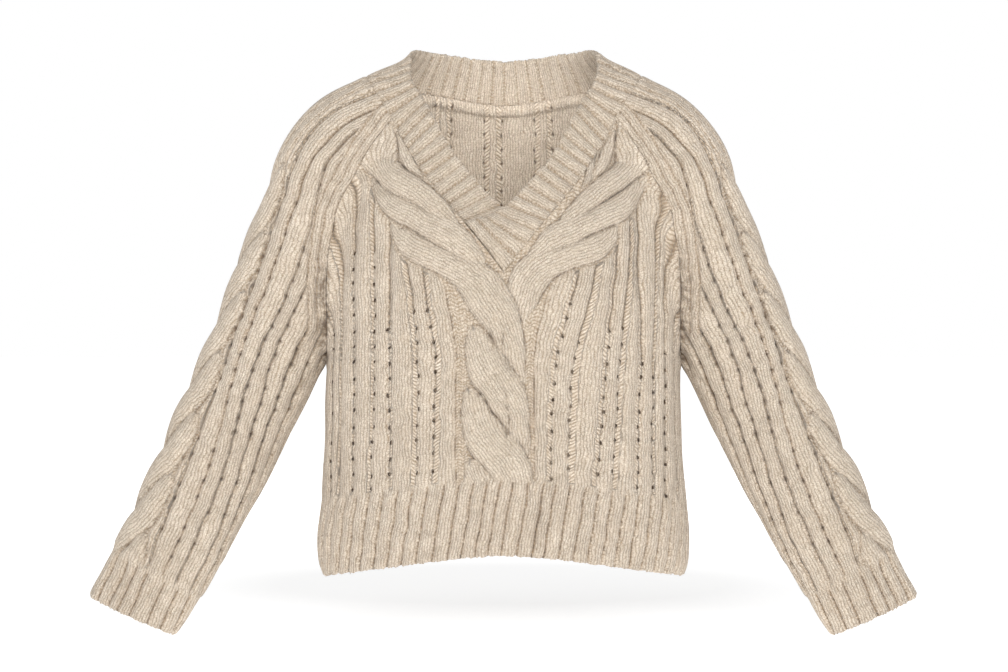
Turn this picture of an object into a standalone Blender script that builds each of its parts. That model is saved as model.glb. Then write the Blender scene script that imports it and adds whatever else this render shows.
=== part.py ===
"""Cable-knit V-neck raglan sweater, filled out and hollow, as its knitted and sewn pieces.

Metres, +Z up. The front faces -Y and the wearer's left side is +X. The origin is the middle of the neck
opening, level with the shoulder end of the collar seam. All pieces are cut from one smooth form: a torso
given by level sections, and an arm given by sections along its own line. Seams are curves on that form. The
pieces on both sides of a seam share its points, each moved back by half of the seam gap.
"""

import math

import bpy
import numpy as np

WALL = 0.004
SEAM_GAP = 0.0003
END_GAP = 0.0008
TUCK = 0.0056
TORSO_POWER = 2.15
BLEND_IN_NOTCH = 0.010
BLEND_IN_FRONT = 0.028
BLEND_DEPTH = 0.045
ARM_SAMPLES = 120

# level sections of the torso: height, half width, depth in front of the side line, depth behind it
TORSO = (
    ("above_collar", 0.050, 0.096, 0.020, 0.060),
    ("collar_top", 0.027, 0.100, 0.030, 0.069),
    ("neck", 0.000, 0.118, 0.050, 0.080),
    ("yoke_top", -0.035, 0.132, 0.070, 0.092),
    ("yoke", -0.080, 0.150, 0.088, 0.104),
    ("chest_high", -0.140, 0.170, 0.106, 0.113),
    ("chest", -0.220, 0.184, 0.118, 0.116),
    ("underarm", -0.309, 0.189, 0.121, 0.114),
    ("waist_high", -0.390, 0.191, 0.120, 0.110),
    ("waist", -0.450, 0.195, 0.121, 0.109),
    ("hip", -0.505, 0.199, 0.121, 0.109),
    ("hem", -0.530, 0.196, 0.118, 0.106),
    ("below_hem", -0.550, 0.188, 0.112, 0.100),
)

# sections along the arm: x and z of the middle, half width across the arm, half depth, y of the middle
ARM = (
    ("inside_neck", 0.075, -0.027, 0.054, 0.048, 0.004),
    ("collar", 0.1215, -0.0465, 0.0535, 0.056, 0.005),
    ("shoulder", 0.1535, -0.072, 0.0635, 0.060, 0.005),
    ("shoulder_point", 0.180, -0.102, 0.0643, 0.060, 0.004),
    ("upper_arm_top", 0.199, -0.150, 0.0625, 0.056, 0.003),
    ("upper_arm", 0.216, -0.200, 0.063, 0.053, 0.002),
    ("armhole", 0.240, -0.260, 0.062, 0.050, 0.001),
    ("below_armhole", 0.267, -0.320, 0.0600, 0.046, 0.000),
    ("elbow", 0.315, -0.424, 0.0565, 0.039, -0.004),
    ("forearm", 0.350, -0.493, 0.0545, 0.034, -0.010),
    ("cuff_top", 0.372, -0.533, 0.0525, 0.028, -0.014),
    ("cuff_end", 0.401, -0.582, 0.0490, 0.022, -0.018),
)
COLLAR_SECTION = 1

# raglan seams in the front view: height and distance from the middle
FRONT_RAGLAN = (
    ("collar", -0.0490, 0.1185),
    ("upper", -0.0850, 0.1450),
    ("middle", -0.1146, 0.1616),
    ("lower", -0.1410, 0.1760),
    ("armhole", -0.1780, 0.1845),
    ("underarm", -0.3090, 0.1890),
)
BACK_RAGLAN = (
    ("collar", -0.0120, 0.1050),
    ("upper", -0.0600, 0.1320),
    ("middle", -0.1100, 0.1560),
    ("lower", -0.1600, 0.1750),
    ("armhole", -0.2100, 0.1860),
    ("underarm", -0.3090, 0.1890),
)

# collar seam on the front: height and distance from the middle
V_EDGE = (
    ("tip", -0.2140, 0.0000),
    ("low", -0.1880, 0.0200),
    ("crossing", -0.1610, 0.0420),
    ("middle", -0.1370, 0.0625),
    ("upper", -0.1150, 0.0800),
    ("high", -0.0940, 0.0945),
    ("collar", -0.0680, 0.1095),
    ("raglan", -0.0490, 0.1185),
)
BACK_NECK_HEIGHT = -0.024

# free edge of the neckband beside each place of its seam: azimuth of the seam, azimuth and height of the
# free edge
FREE_EDGE = (
    ("crossed_end", 0.0, -20.6, -0.1610),
    ("v_point", 20.6, 0.0, -0.1450),
    ("v_low", 31.0, 15.6, -0.1176),
    ("v_high", 50.0, 38.0, -0.0728),
    ("collar", 58.5, 49.5, -0.0451),
    ("raglan", 65.8, 58.5, -0.0240),
    ("side", 78.0, 72.0, 0.0050),
    ("shoulder_front", 86.0, 83.0, 0.0210),
    ("shoulder", 95.0, 93.0, 0.0280),
    ("raglan_back", 123.0, 121.0, 0.0305),
    ("back", 150.0, 150.0, 0.0265),
    ("middle_back", 180.0, 180.0, 0.0230),
)
CROSSING_HEIGHT = -0.161
TUCKED_FULLY = 26.0
TUCKED_FROM = 50.0

HEM_SIDE = -0.540
FRONT_ARCH = 0.029
BACK_ARCH = 0.018
RIB_HEIGHT = 0.076
CUFF_LENGTH = 0.048
CUFF_TILT = math.radians(-6.0)

BODY_COLUMNS = 9
HEM_ROWS = 3
BODY_ROWS = 8
RAGLAN_ROWS = 13
TIP_ROW = 5
RAGLAN_CROWDING = 1.35
SLEEVE_HALF_COLUMNS = 8
SLEEVE_ROWS = 9
CUFF_ROWS = 2
BAND_COLUMNS = 3

WOOL = (0.70, 0.59, 0.47)
RIB_WOOL = (0.69, 0.58, 0.46)
WOOL_ROUGHNESS = 0.9

FRONT, BACK = -1, 1


def smooth(rows, key, value, at):
    """Value of one column of a table where its key column is `at`, on a smooth curve through the rows."""
    x = np.array([row[key] for row in rows], float)
    y = np.array([row[value] for row in rows], float)
    if x[0] > x[-1]:
        x, y = x[::-1], y[::-1]
    at = np.clip(np.asarray(at, float), x[0], x[-1])
    width = np.diff(x)
    slope = np.diff(y) / width
    tangent = np.empty_like(y)
    tangent[0], tangent[-1] = slope[0], slope[-1]
    tangent[1:-1] = (slope[:-1] * width[1:] + slope[1:] * width[:-1]) / (width[1:] + width[:-1])
    cell = np.clip(np.searchsorted(x, at, side="right") - 1, 0, len(x) - 2)
    t = (at - x[cell]) / width[cell]
    rise = y[cell] + (y[cell + 1] - y[cell]) * (3 - 2 * t) * t**2
    leave = tangent[cell] * t * (1 - t) ** 2
    arrive = tangent[cell + 1] * t**2 * (1 - t)
    return rise + width[cell] * (leave - arrive)


def unit(vectors):
    return vectors / np.linalg.norm(vectors, axis=-1, keepdims=True)


def section_lengths():
    """Length along the arm's line at each row of the ARM table."""
    middles = np.array([row[1:3] for row in ARM])
    return np.concatenate([[0], np.cumsum(np.hypot(*np.diff(middles, axis=0).T))])


ARM_LENGTHS = section_lengths()


def arm_line():
    """Evenly spaced sections of the arm: x, z, half width, half depth, y, and the length so far."""
    rows = [(length, *row[1:]) for row, length in zip(ARM, ARM_LENGTHS)]
    at = np.linspace(0, ARM_LENGTHS[-1], ARM_SAMPLES)
    return np.stack([smooth(rows, 0, column, at) for column in range(1, 6)] + [at], axis=1)


ARM_LINE = arm_line()


def arm_section(length):
    """Middle of the arm at a length along it, and the outward direction across it in the front view."""
    span = 1.5 * ARM_LENGTHS[-1] / ARM_SAMPLES
    ends = np.clip([length - span, length + span], 0, ARM_LENGTHS[-1])
    middle = [np.interp(length, ARM_LINE[:, 5], ARM_LINE[:, column]) for column in (0, 4, 1)]
    along_x, along_z = (np.diff(np.interp(ends, ARM_LINE[:, 5], ARM_LINE[:, column]))[0] for column in (0, 1))
    return np.array(middle), unit(np.array([-along_z, 0, along_x]))


def torso_distance(points):
    """Rough distance outside the torso, measured level from its middle."""
    x, y, z = points.T
    half = smooth(TORSO, 1, 2, z)
    depth = np.where(y < 0, smooth(TORSO, 1, 3, z), smooth(TORSO, 1, 4, z))
    ratio = (np.abs(x / half) ** TORSO_POWER + np.abs(y / depth) ** TORSO_POWER + 1e-9) ** (1 / TORSO_POWER)
    reach = np.hypot(x, y) + 1e-6
    return reach - reach / ratio


def arm_distance(points):
    """Rough distance outside the arm, measured across its line."""
    start, end = ARM_LINE[:-1], ARM_LINE[1:]
    side = (end - start)[:, :2]
    away = np.stack([np.abs(points[:, 0]), points[:, 2]], axis=1)[:, None] - start[:, :2]
    share = np.clip((away * side).sum(2) / (side**2).sum(1), 0, 1)
    across = np.linalg.norm(away - share[..., None] * side, axis=2)
    nearest = across.argmin(1)
    every = np.arange(len(points))
    share, across = share[every, nearest], across[every, nearest]
    section = start[nearest] + share[:, None] * (end - start)[nearest]
    deep = points[:, 1] - section[:, 4]
    ratio = np.sqrt((across / section[:, 2]) ** 2 + (deep / section[:, 3]) ** 2 + 1e-12)
    reach = np.hypot(across, deep) + 1e-8
    return reach - reach / ratio


def outside(points):
    """Rough distance outside the form: the arms blend into the torso, tightly in the notch under each arm."""
    torso, arm = torso_distance(points), arm_distance(points)
    depth = np.minimum(np.abs(points[:, 1]) / BLEND_DEPTH, 1) ** 2
    blend = BLEND_IN_NOTCH + (BLEND_IN_FRONT - BLEND_IN_NOTCH) * depth
    overlap = np.maximum(blend - np.abs(torso - arm), 0) / blend
    return np.minimum(torso, arm) - overlap**2 * blend / 4


def cast(origin, direction, reach=0.30, steps=60):
    """Points where rays from inside the form first leave it."""
    origin, direction = np.broadcast_arrays(np.atleast_2d(origin), np.atleast_2d(direction))
    direction = unit(direction)
    near = np.zeros(len(origin))
    still_inside = np.ones(len(origin), bool)
    for far in np.linspace(0, reach, steps):
        still_inside &= outside(origin + far * direction) < 0
        near = np.where(still_inside, far, near)
    far = near + reach / (steps - 1)
    for _ in range(24):
        middle = (near + far) / 2
        out = outside(origin + middle[:, None] * direction) > 0
        far = np.where(out, middle, far)
        near = np.where(out, near, middle)
    return origin + far[:, None] * direction


def normals(points, step=0.0008):
    """Outward directions of the form's surface at points on it."""
    flat = points.reshape(-1, 3)
    slope = [outside(flat + step * axis) - outside(flat - step * axis) for axis in np.eye(3)]
    return unit(np.stack(slope, axis=1)).reshape(points.shape)


def seam_sides(seam):
    """Directions across a seam, in the surface."""
    return unit(np.cross(normals(seam), np.gradient(seam, axis=0)))


def at_azimuth(azimuth, height):
    """Points of the form at azimuths in degrees, seen from the middle of the neck, and heights."""
    turn = np.radians(azimuth)
    origin = np.stack([0 * turn, 0 * turn, height + 0 * turn], axis=1)
    return cast(origin, np.stack([np.sin(turn), -np.cos(turn), 0 * turn], axis=1))


def azimuth_of(points):
    return np.degrees(np.arctan2(points[..., 0], -points[..., 1]))


# ---- seams -----------------------------------------------------------------------------------------------


def underarm_point():
    """Highest point of the notch between sleeve and body, where side seam, sleeve seam and raglans meet."""
    across = np.linspace(0.185, 0.215, 121)
    origin = np.stack([across, 0 * across, 0 * across - 0.25], axis=1)
    notch = cast(origin, [0, 0, -1], reach=0.15)
    return notch[notch[:, 2].argmax()]


UNDERARM = underarm_point()


def raglan(table, face):
    """Points of a raglan seam on the +X side, from the underarm up to the collar."""
    share = np.linspace(0, 1, RAGLAN_ROWS + 1) ** RAGLAN_CROWDING
    height = UNDERARM[2] + share * (table[0][1] - UNDERARM[2])
    across = smooth(table, 1, 2, height) + (UNDERARM[0] - table[-1][2]) * (1 - share) ** 8
    points = cast(np.stack([across, 0 * across, height], axis=1), [0, face, 0])
    points[0] = UNDERARM
    return points


RAGLAN = {FRONT: raglan(FRONT_RAGLAN, FRONT), BACK: raglan(BACK_RAGLAN, BACK)}


def armhole_sides():
    """Directions from the points of both raglan seams of the +X side towards the body."""
    loop = np.concatenate([RAGLAN[FRONT][::-1], RAGLAN[BACK][1:]])
    side = seam_sides(loop)
    side *= -np.sign(side[RAGLAN_ROWS, 0])
    return {FRONT: side[RAGLAN_ROWS::-1], BACK: side[RAGLAN_ROWS:]}


ARMHOLE_SIDE = armhole_sides()


# ---- rows of the body ------------------------------------------------------------------------------------


def body_row(inner, outer, face):
    """A row of body points on the +X side, between a point on the middle line or the V and one on a seam."""
    share = np.linspace(0, 1, BODY_COLUMNS + 1)
    start, end = 0.68 * inner[0], 0.68 * outer[0]
    start_turn = math.atan2(inner[0] - start, abs(inner[1]))
    end_turn = math.atan2(outer[0] - end, abs(outer[1]))
    turn = start_turn + (end_turn - start_turn) * share**1.5
    height = inner[2] + (outer[2] - inner[2]) * (1 - np.cos(np.pi * share)) / 2
    origin = np.stack([start + (end - start) * share, 0 * share, height], axis=1)
    row = cast(origin, np.stack([np.sin(turn), face * np.cos(turn), 0 * turn], axis=1))
    row[0], row[-1] = inner, outer
    return row


def middle_points(heights, face):
    """Points on the body's middle line."""
    origin = np.stack([0 * heights, 0 * heights, heights], axis=1)
    return cast(origin, [0, face, 0])


def body_grid(face):
    """All rows of the +X half of the front or back, from the hem's edge to the neck."""
    rib_top = HEM_SIDE + RIB_HEIGHT
    rib = np.linspace(HEM_SIDE, rib_top, HEM_ROWS + 1)
    plain = np.linspace(rib_top, UNDERARM[2], BODY_ROWS + 1)[1:]
    side = np.concatenate([rib, plain])
    arch = FRONT_ARCH if face == FRONT else BACK_ARCH
    middle = side + arch * np.clip((UNDERARM[2] - side) / (UNDERARM[2] - rib_top), 0, 1)
    seam = cast(np.stack([0 * side, 0 * side, side], axis=1), [1, 0, 0])
    seam[-1] = UNDERARM
    outer = np.concatenate([seam, RAGLAN[face][1:]])
    if face == FRONT:
        up_to_tip = np.linspace(UNDERARM[2], V_EDGE[0][1], TIP_ROW + 1)[1:]
        inner = np.concatenate([middle_points(np.concatenate([middle, up_to_tip]), face), v_edge()[1:]])
    else:
        up_to_neck = np.linspace(UNDERARM[2], BACK_NECK_HEIGHT, RAGLAN_ROWS + 1)[1:]
        inner = middle_points(np.concatenate([middle, up_to_neck]), face)
    return np.array([body_row(start, end, face) for start, end in zip(inner, outer)])


def v_point(height):
    """Points of the collar seam on the front at heights."""
    across = smooth(V_EDGE, 1, 2, height)
    return cast(np.stack([across, 0 * across, height], axis=1), [0, FRONT, 0])


def v_edge():
    """Points of the collar seam on the front, from the tip of the V to the raglan."""
    points = v_point(np.linspace(V_EDGE[0][1], V_EDGE[-1][1], RAGLAN_ROWS - TIP_ROW + 1))
    points[-1] = RAGLAN[FRONT][-1]
    return points


# ---- rows of the sleeve ----------------------------------------------------------------------------------


def sleeve_row(length, front=None, back=None, tilt=0.0):
    """A row round the sleeve from the front seam over the top to the back seam, or closed at the underarm."""
    middle, out = arm_section(length)
    turned = complex(out[0], out[2]) * complex(math.cos(tilt), math.sin(tilt))
    out = np.array([turned.real, 0, turned.imag])
    back_way = np.array([0.0, 1.0, 0.0])
    along = np.cross(out, back_way)
    row = []
    for face, seam in ((FRONT, front), (BACK, back)):
        share = np.linspace(0, 1, SLEEVE_HALF_COLUMNS + 1)
        turn, lean = face * math.pi, 0.0
        if seam is not None:
            to_seam = seam - middle
            turn = math.atan2(to_seam @ back_way, to_seam @ out)
            lean = math.atan2(to_seam @ along, math.hypot(to_seam @ back_way, to_seam @ out))
        turn, lean = turn * share[:, None], lean * share[:, None] ** 2
        across = np.cos(turn) * out + np.sin(turn) * back_way
        points = cast(middle, np.cos(lean) * across + np.sin(lean) * along, reach=0.15)
        if seam is not None:
            points[-1] = seam
        row.append(points)
    return np.concatenate([row[0][::-1], row[1][1:]])


def underarm_length():
    """Length along the arm where its section passes through the underarm point."""
    lengths = np.linspace(ARM_LENGTHS[COLLAR_SECTION], ARM_LENGTHS[-1], 400)
    sections = [arm_section(length) for length in lengths]
    miss = [abs((UNDERARM - middle) @ np.cross(out, [0, 1, 0])) for middle, out in sections]
    return lengths[int(np.argmin(miss))]


def sleeve_grid():
    """All rows of the +X sleeve, from the cuff's edge to the collar, and the number of closed rows."""
    under = underarm_length()
    cuff_top = ARM_LENGTHS[-1] - CUFF_LENGTH
    cuff = [
        sleeve_row(length, tilt=CUFF_TILT * (length - cuff_top) / CUFF_LENGTH)
        for length in np.linspace(ARM_LENGTHS[-1] - 1e-4, cuff_top, CUFF_ROWS + 1)
    ]
    tube = [sleeve_row(length) for length in np.linspace(cuff_top, under, SLEEVE_ROWS + 1)[1:]]
    tube[-1][0] = tube[-1][-1] = UNDERARM
    lengths = np.linspace(under, ARM_LENGTHS[COLLAR_SECTION], RAGLAN_ROWS + 1)[1:]
    seams = zip(lengths, RAGLAN[FRONT][1:], RAGLAN[BACK][1:])
    cap = [sleeve_row(length, front, back) for length, front, back in seams]
    return np.array(cuff + tube + cap), len(cuff) + len(tube)


# ---- neckband --------------------------------------------------------------------------------------------


def collar_seam(front, sleeve, back):
    """Points of the collar seam on the +X side, from the tip of the V to the middle of the back."""
    v_side = front[HEM_ROWS + BODY_ROWS + TIP_ROW :, 0]
    return np.concatenate([v_side, sleeve[-1][1:], back[-1][-2::-1]])


def band_half(seam):
    """Rows across the +X half of the neckband, one for each point of its seam, and the way off the seam."""
    azimuth = azimuth_of(seam)
    share = np.linspace(0, 1, BAND_COLUMNS + 1)
    rows = []
    for point, start in zip(seam, azimuth):
        end, end_height = (smooth(FREE_EDGE, 1, column, start) for column in (2, 3))
        row = at_azimuth(start + (end - start) * share, point[2] + (end_height - point[2]) * share)
        row[0] = point
        rows.append(row)
    rows[0] = mirrored(v_point(np.linspace(V_EDGE[0][1], CROSSING_HEIGHT, BAND_COLUMNS + 1)))
    rows = np.array(rows)
    side = seam_sides(seam)
    side *= np.sign(((rows[:, 1] - rows[:, 0]) * side).sum(1))[:, None]
    return rows, side


# ---- shells ----------------------------------------------------------------------------------------------


def material(name, colour):
    wool = bpy.data.materials.new(name)
    wool.use_nodes = True
    shader = wool.node_tree.nodes["Principled BSDF"]
    shader.inputs["Base Color"].default_value = (*colour, 1)
    shader.inputs["Roughness"].default_value = WOOL_ROUGHNESS
    shader.inputs["Metallic"].default_value = 0.0
    return wool


def rim(a, b, count, places):
    """Two triangles that close the wall's rim along an edge. Both sides of a seam split it the same way."""
    rank = places @ [0.3, 0.6, 1.0]
    if rank[a] < rank[b]:
        return [(b, a, b + count), (a, a + count, b + count)]
    return [(b, a, a + count), (b, a + count, b + count)]


def shell(name, outer, inner, faces, colour):
    """A closed wall between an outer and an inner sheet with the same faces, joined along free edges."""
    count = len(outer)
    used = {(face[k], face[(k + 1) % len(face)]) for face in faces for k in range(len(face))}
    free = sorted(edge for edge in used if edge[::-1] not in used)
    places = np.abs(outer) * [1, 0, 0] + outer * [0, 1, 1]
    rims = [triangle for a, b in free for triangle in rim(a, b, count, places)]
    lining = [[corner + count for corner in reversed(face)] for face in faces]
    mesh = bpy.data.meshes.new(name)
    mesh.from_pydata(np.concatenate([outer, inner]).tolist(), [], faces + lining + rims)
    mesh.materials.append(material(name, colour))
    mesh.shade_smooth()
    mesh.set_sharp_from_angle(angle=math.radians(40))
    piece = bpy.data.objects.new(name, mesh)
    bpy.context.collection.objects.link(piece)
    return piece


def grid_faces(keys):
    """Quads, and triangles where corners fall together, of a grid of point numbers."""
    faces = []
    for low, high in zip(keys, keys[1:]):
        for a, b, c, d in zip(low, low[1:], high[1:], high):
            ring = [corner for corner, before in zip((a, b, c, d), (d, a, b, c)) if corner != before]
            if len(ring) > 2:
                faces.append(ring)
    return faces


def mirrored(points):
    return points * [-1, 1, 1]


def body_piece(name, grid, shift, face, split_from, colour):
    """A front or back piece from its +X half: the halves share the middle line below row `split_from`."""
    rows, columns = grid.shape[:2]
    depth = -WALL * normals(grid)
    numbers = np.arange(rows * columns).reshape(rows, columns)
    other = numbers + rows * columns
    other[:split_from, 0] = numbers[:split_from, 0]
    if len(np.unique(grid[-1].round(6), axis=0)) == 1:
        numbers[-1] = numbers[-1, -1]
        other[-1] = other[-1, -1]
    right, left = grid_faces(numbers.tolist()), grid_faces(other.tolist())
    if face == FRONT:
        left = [ring[::-1] for ring in left]
    else:
        right = [ring[::-1] for ring in right]
    outer = (grid + shift).reshape(-1, 3)
    inner = (grid + shift + depth).reshape(-1, 3)
    outer, inner = (np.concatenate([half, mirrored(half)]) for half in (outer, inner))
    faces = right + left
    kept = np.unique([corner for ring in faces for corner in ring])
    place = {int(old): new for new, old in enumerate(kept)}
    faces = [[place[corner] for corner in ring] for ring in faces]
    return shell(name, outer[kept], inner[kept], faces, colour)


def tube_piece(name, grid, shift, closed_rows, side, colour):
    """A sleeve or cuff: its first rows close round the arm, the rows above them are open."""
    rows, columns = grid.shape[:2]
    depth = -WALL * normals(grid)
    numbers = np.arange(rows * columns).reshape(rows, columns)
    numbers[:closed_rows, -1] = numbers[:closed_rows, 0]
    faces = grid_faces(numbers.tolist())
    outer = (grid + shift).reshape(-1, 3)
    inner = (grid + shift + depth).reshape(-1, 3)
    if side < 0:
        outer, inner = mirrored(outer), mirrored(inner)
        faces = [ring[::-1] for ring in faces]
    kept = np.unique([corner for ring in faces for corner in ring])
    place = {int(old): new for new, old in enumerate(kept)}
    faces = [[place[corner] for corner in ring] for ring in faces]
    return shell(name, outer[kept], inner[kept], faces, colour)


def neckband(rows, side):
    """The strip from its end tucked under at the V, round the back, to its end on top."""
    shift = np.zeros_like(rows)
    shift[:, 0] = side * SEAM_GAP / 2
    across = unit(rows[1] - rows[0])
    shift[0] = across * END_GAP
    azimuth = azimuth_of(rows[:, 0])
    tuck = np.clip((TUCKED_FROM - azimuth) / (TUCKED_FROM - TUCKED_FULLY), 0, 1)
    tuck = (tuck**2 * (3 - 2 * tuck))[:, None, None]
    way_in = -normals(rows)
    top = rows + shift
    under = mirrored(top + TUCK * tuck * way_in)[:-1]
    outer = np.concatenate([top, under[::-1]])
    depth = np.concatenate([WALL * way_in, mirrored(WALL * way_in)[:-1][::-1]])
    numbers = np.arange(outer.shape[0] * outer.shape[1]).reshape(outer.shape[:2])
    faces = grid_faces(numbers[::-1].tolist())
    return shell("neckband", outer.reshape(-1, 3), (outer + depth).reshape(-1, 3), faces, RIB_WOOL)


# ---- the sweater -----------------------------------------------------------------------------------------


def body_shift(grid, face, collar_side):
    """How far each point of the body's +X half moves back from its seams."""
    half_gap = SEAM_GAP / 2
    shift = np.zeros_like(grid)
    under = HEM_ROWS + BODY_ROWS
    shift[: under + 1, -1] += [0, face * half_gap, 0]
    shift[under:, -1] += ARMHOLE_SIDE[face] * half_gap
    if face == FRONT:
        tip = under + TIP_ROW
        shift[tip:, 0] -= collar_side[: RAGLAN_ROWS - TIP_ROW + 1] * half_gap
        shift[tip, 0] = [0, 0, -2 * half_gap]
        shift[-1] = shift[-1, -1] + shift[-1, 0]
    else:
        shift[-1] -= collar_side[: -BODY_COLUMNS - 2 : -1] * half_gap
    return shift


def sleeve_shift(grid, closed_rows, collar_side):
    """How far each point of the +X sleeve moves back from its seams."""
    half_gap = SEAM_GAP / 2
    shift = np.zeros_like(grid)
    for face, column in ((FRONT, 0), (BACK, -1)):
        shift[closed_rows - 1 :, column] -= ARMHOLE_SIDE[face] * half_gap
    start = RAGLAN_ROWS - TIP_ROW
    shift[-1] -= collar_side[start : start + 2 * SLEEVE_HALF_COLUMNS + 1] * half_gap
    return shift


def knitted_on(grid, shift, row):
    """Shifts on both sides of a row where a rib is knitted on: of the rib, and of the panel above it."""
    up = unit(grid[row + 1] - grid[row - 1]) * SEAM_GAP / 2
    below, above = shift[: row + 1].copy(), shift[row:].copy()
    below[-1] -= up
    above[0] += up
    return below, above


def build():
    for old in list(bpy.data.objects):
        bpy.data.objects.remove(old, do_unlink=True)
    body = {FRONT: body_grid(FRONT), BACK: body_grid(BACK)}
    sleeve, closed_rows = sleeve_grid()
    seam = collar_seam(body[FRONT], sleeve, body[BACK])
    band, collar_side = band_half(seam)
    neckband(band, collar_side)
    for face, name in ((FRONT, "front"), (BACK, "back")):
        grid = body[face]
        rib, panel = knitted_on(grid, body_shift(grid, face, collar_side), HEM_ROWS)
        split_from = HEM_ROWS + BODY_ROWS + TIP_ROW + 1 if face == FRONT else len(grid)
        body_piece(f"hem_rib_{name}", grid[: HEM_ROWS + 1], rib, face, HEM_ROWS + 1, RIB_WOOL)
        body_piece(name, grid[HEM_ROWS:], panel, face, split_from - HEM_ROWS, WOOL)
    rib, panel = knitted_on(sleeve, sleeve_shift(sleeve, closed_rows, collar_side), CUFF_ROWS)
    for side, name in ((1, "left"), (-1, "right")):
        tube_piece(f"cuff_{name}", sleeve[: CUFF_ROWS + 1], rib, CUFF_ROWS + 1, side, RIB_WOOL)
        tube_piece(f"sleeve_{name}", sleeve[CUFF_ROWS:], panel, closed_rows - CUFF_ROWS, side, WOOL)


build()
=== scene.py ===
"""Looks of a cable-knit V-neck raglan sweater: ribs, cables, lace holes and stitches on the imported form.

Metres, +Z up. The front faces -Y and the wearer's left side is +X. Tables are in millimetres where their
columns say so. Each knitted piece is a closed thin shell: a fine grid on the sweater's form, moved out along
the form's normal by the height of the knitting at that place, and an inner sheet that follows it.
"""

import copy
import math

import bpy
import mathutils
import numpy as np
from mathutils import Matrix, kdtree


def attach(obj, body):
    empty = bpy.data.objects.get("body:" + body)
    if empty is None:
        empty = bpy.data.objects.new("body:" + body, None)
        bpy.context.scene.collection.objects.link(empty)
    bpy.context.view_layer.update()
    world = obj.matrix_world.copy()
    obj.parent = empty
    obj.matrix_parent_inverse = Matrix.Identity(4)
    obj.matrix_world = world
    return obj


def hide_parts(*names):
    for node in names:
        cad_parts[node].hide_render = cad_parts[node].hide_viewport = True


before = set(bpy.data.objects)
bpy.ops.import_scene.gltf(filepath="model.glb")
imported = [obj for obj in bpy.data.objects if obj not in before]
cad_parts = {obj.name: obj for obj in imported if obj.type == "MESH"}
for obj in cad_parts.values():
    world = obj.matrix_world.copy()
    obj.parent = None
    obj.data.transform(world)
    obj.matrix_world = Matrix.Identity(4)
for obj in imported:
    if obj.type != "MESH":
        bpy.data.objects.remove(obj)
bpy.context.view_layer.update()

MM = 0.001
FRONT, BACK = -1, 1

# ---- form of the sweater ---------------------------------------------------------------------------------

WALL = 0.004
END_GAP = 0.0008
TUCK = 0.0056
TORSO_POWER = 2.15
BLEND_IN_NOTCH = 0.010
BLEND_IN_FRONT = 0.028
BLEND_DEPTH = 0.045
ARM_SAMPLES = 120

# level sections of the torso: height, half width, depth in front of the side line, depth behind it
TORSO = (
    ("above_collar", 0.050, 0.096, 0.020, 0.060),
    ("collar_top", 0.027, 0.100, 0.030, 0.069),
    ("neck", 0.000, 0.118, 0.050, 0.080),
    ("yoke_top", -0.035, 0.132, 0.070, 0.092),
    ("yoke", -0.080, 0.150, 0.088, 0.104),
    ("chest_high", -0.140, 0.170, 0.106, 0.113),
    ("chest", -0.220, 0.184, 0.118, 0.116),
    ("underarm", -0.309, 0.189, 0.121, 0.114),
    ("waist_high", -0.390, 0.191, 0.120, 0.110),
    ("waist", -0.450, 0.195, 0.121, 0.109),
    ("hip", -0.505, 0.199, 0.121, 0.109),
    ("hem", -0.530, 0.196, 0.118, 0.106),
    ("below_hem", -0.550, 0.188, 0.112, 0.100),
)

# sections along the arm: x and z of the middle, half width across the arm, half depth, y of the middle
ARM = (
    ("inside_neck", 0.075, -0.027, 0.054, 0.048, 0.004),
    ("collar", 0.1215, -0.0465, 0.0535, 0.056, 0.005),
    ("shoulder", 0.1535, -0.072, 0.0635, 0.060, 0.005),
    ("shoulder_point", 0.180, -0.102, 0.0643, 0.060, 0.004),
    ("upper_arm_top", 0.199, -0.150, 0.0625, 0.056, 0.003),
    ("upper_arm", 0.216, -0.200, 0.063, 0.053, 0.002),
    ("armhole", 0.240, -0.260, 0.062, 0.050, 0.001),
    ("below_armhole", 0.267, -0.320, 0.0600, 0.046, 0.000),
    ("elbow", 0.315, -0.424, 0.0565, 0.039, -0.004),
    ("forearm", 0.350, -0.493, 0.0545, 0.034, -0.010),
    ("cuff_top", 0.372, -0.533, 0.0525, 0.028, -0.014),
    ("cuff_end", 0.401, -0.582, 0.0490, 0.022, -0.018),
)
COLLAR_SECTION = 1

# raglan seams in the front view: height and distance from the middle
FRONT_RAGLAN = (
    ("collar", -0.0490, 0.1185),
    ("upper", -0.0850, 0.1450),
    ("middle", -0.1146, 0.1616),
    ("lower", -0.1410, 0.1760),
    ("armhole", -0.1780, 0.1845),
    ("underarm", -0.3090, 0.1890),
)
BACK_RAGLAN = (
    ("collar", -0.0120, 0.1050),
    ("upper", -0.0600, 0.1320),
    ("middle", -0.1100, 0.1560),
    ("lower", -0.1600, 0.1750),
    ("armhole", -0.2100, 0.1860),
    ("underarm", -0.3090, 0.1890),
)

# collar seam on the front: height and distance from the middle
V_EDGE = (
    ("tip", -0.2140, 0.0000),
    ("low", -0.1880, 0.0200),
    ("crossing", -0.1610, 0.0420),
    ("middle", -0.1370, 0.0625),
    ("upper", -0.1150, 0.0800),
    ("high", -0.0940, 0.0945),
    ("collar", -0.0680, 0.1095),
    ("raglan", -0.0490, 0.1185),
)
BACK_NECK_HEIGHT = -0.024

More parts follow.
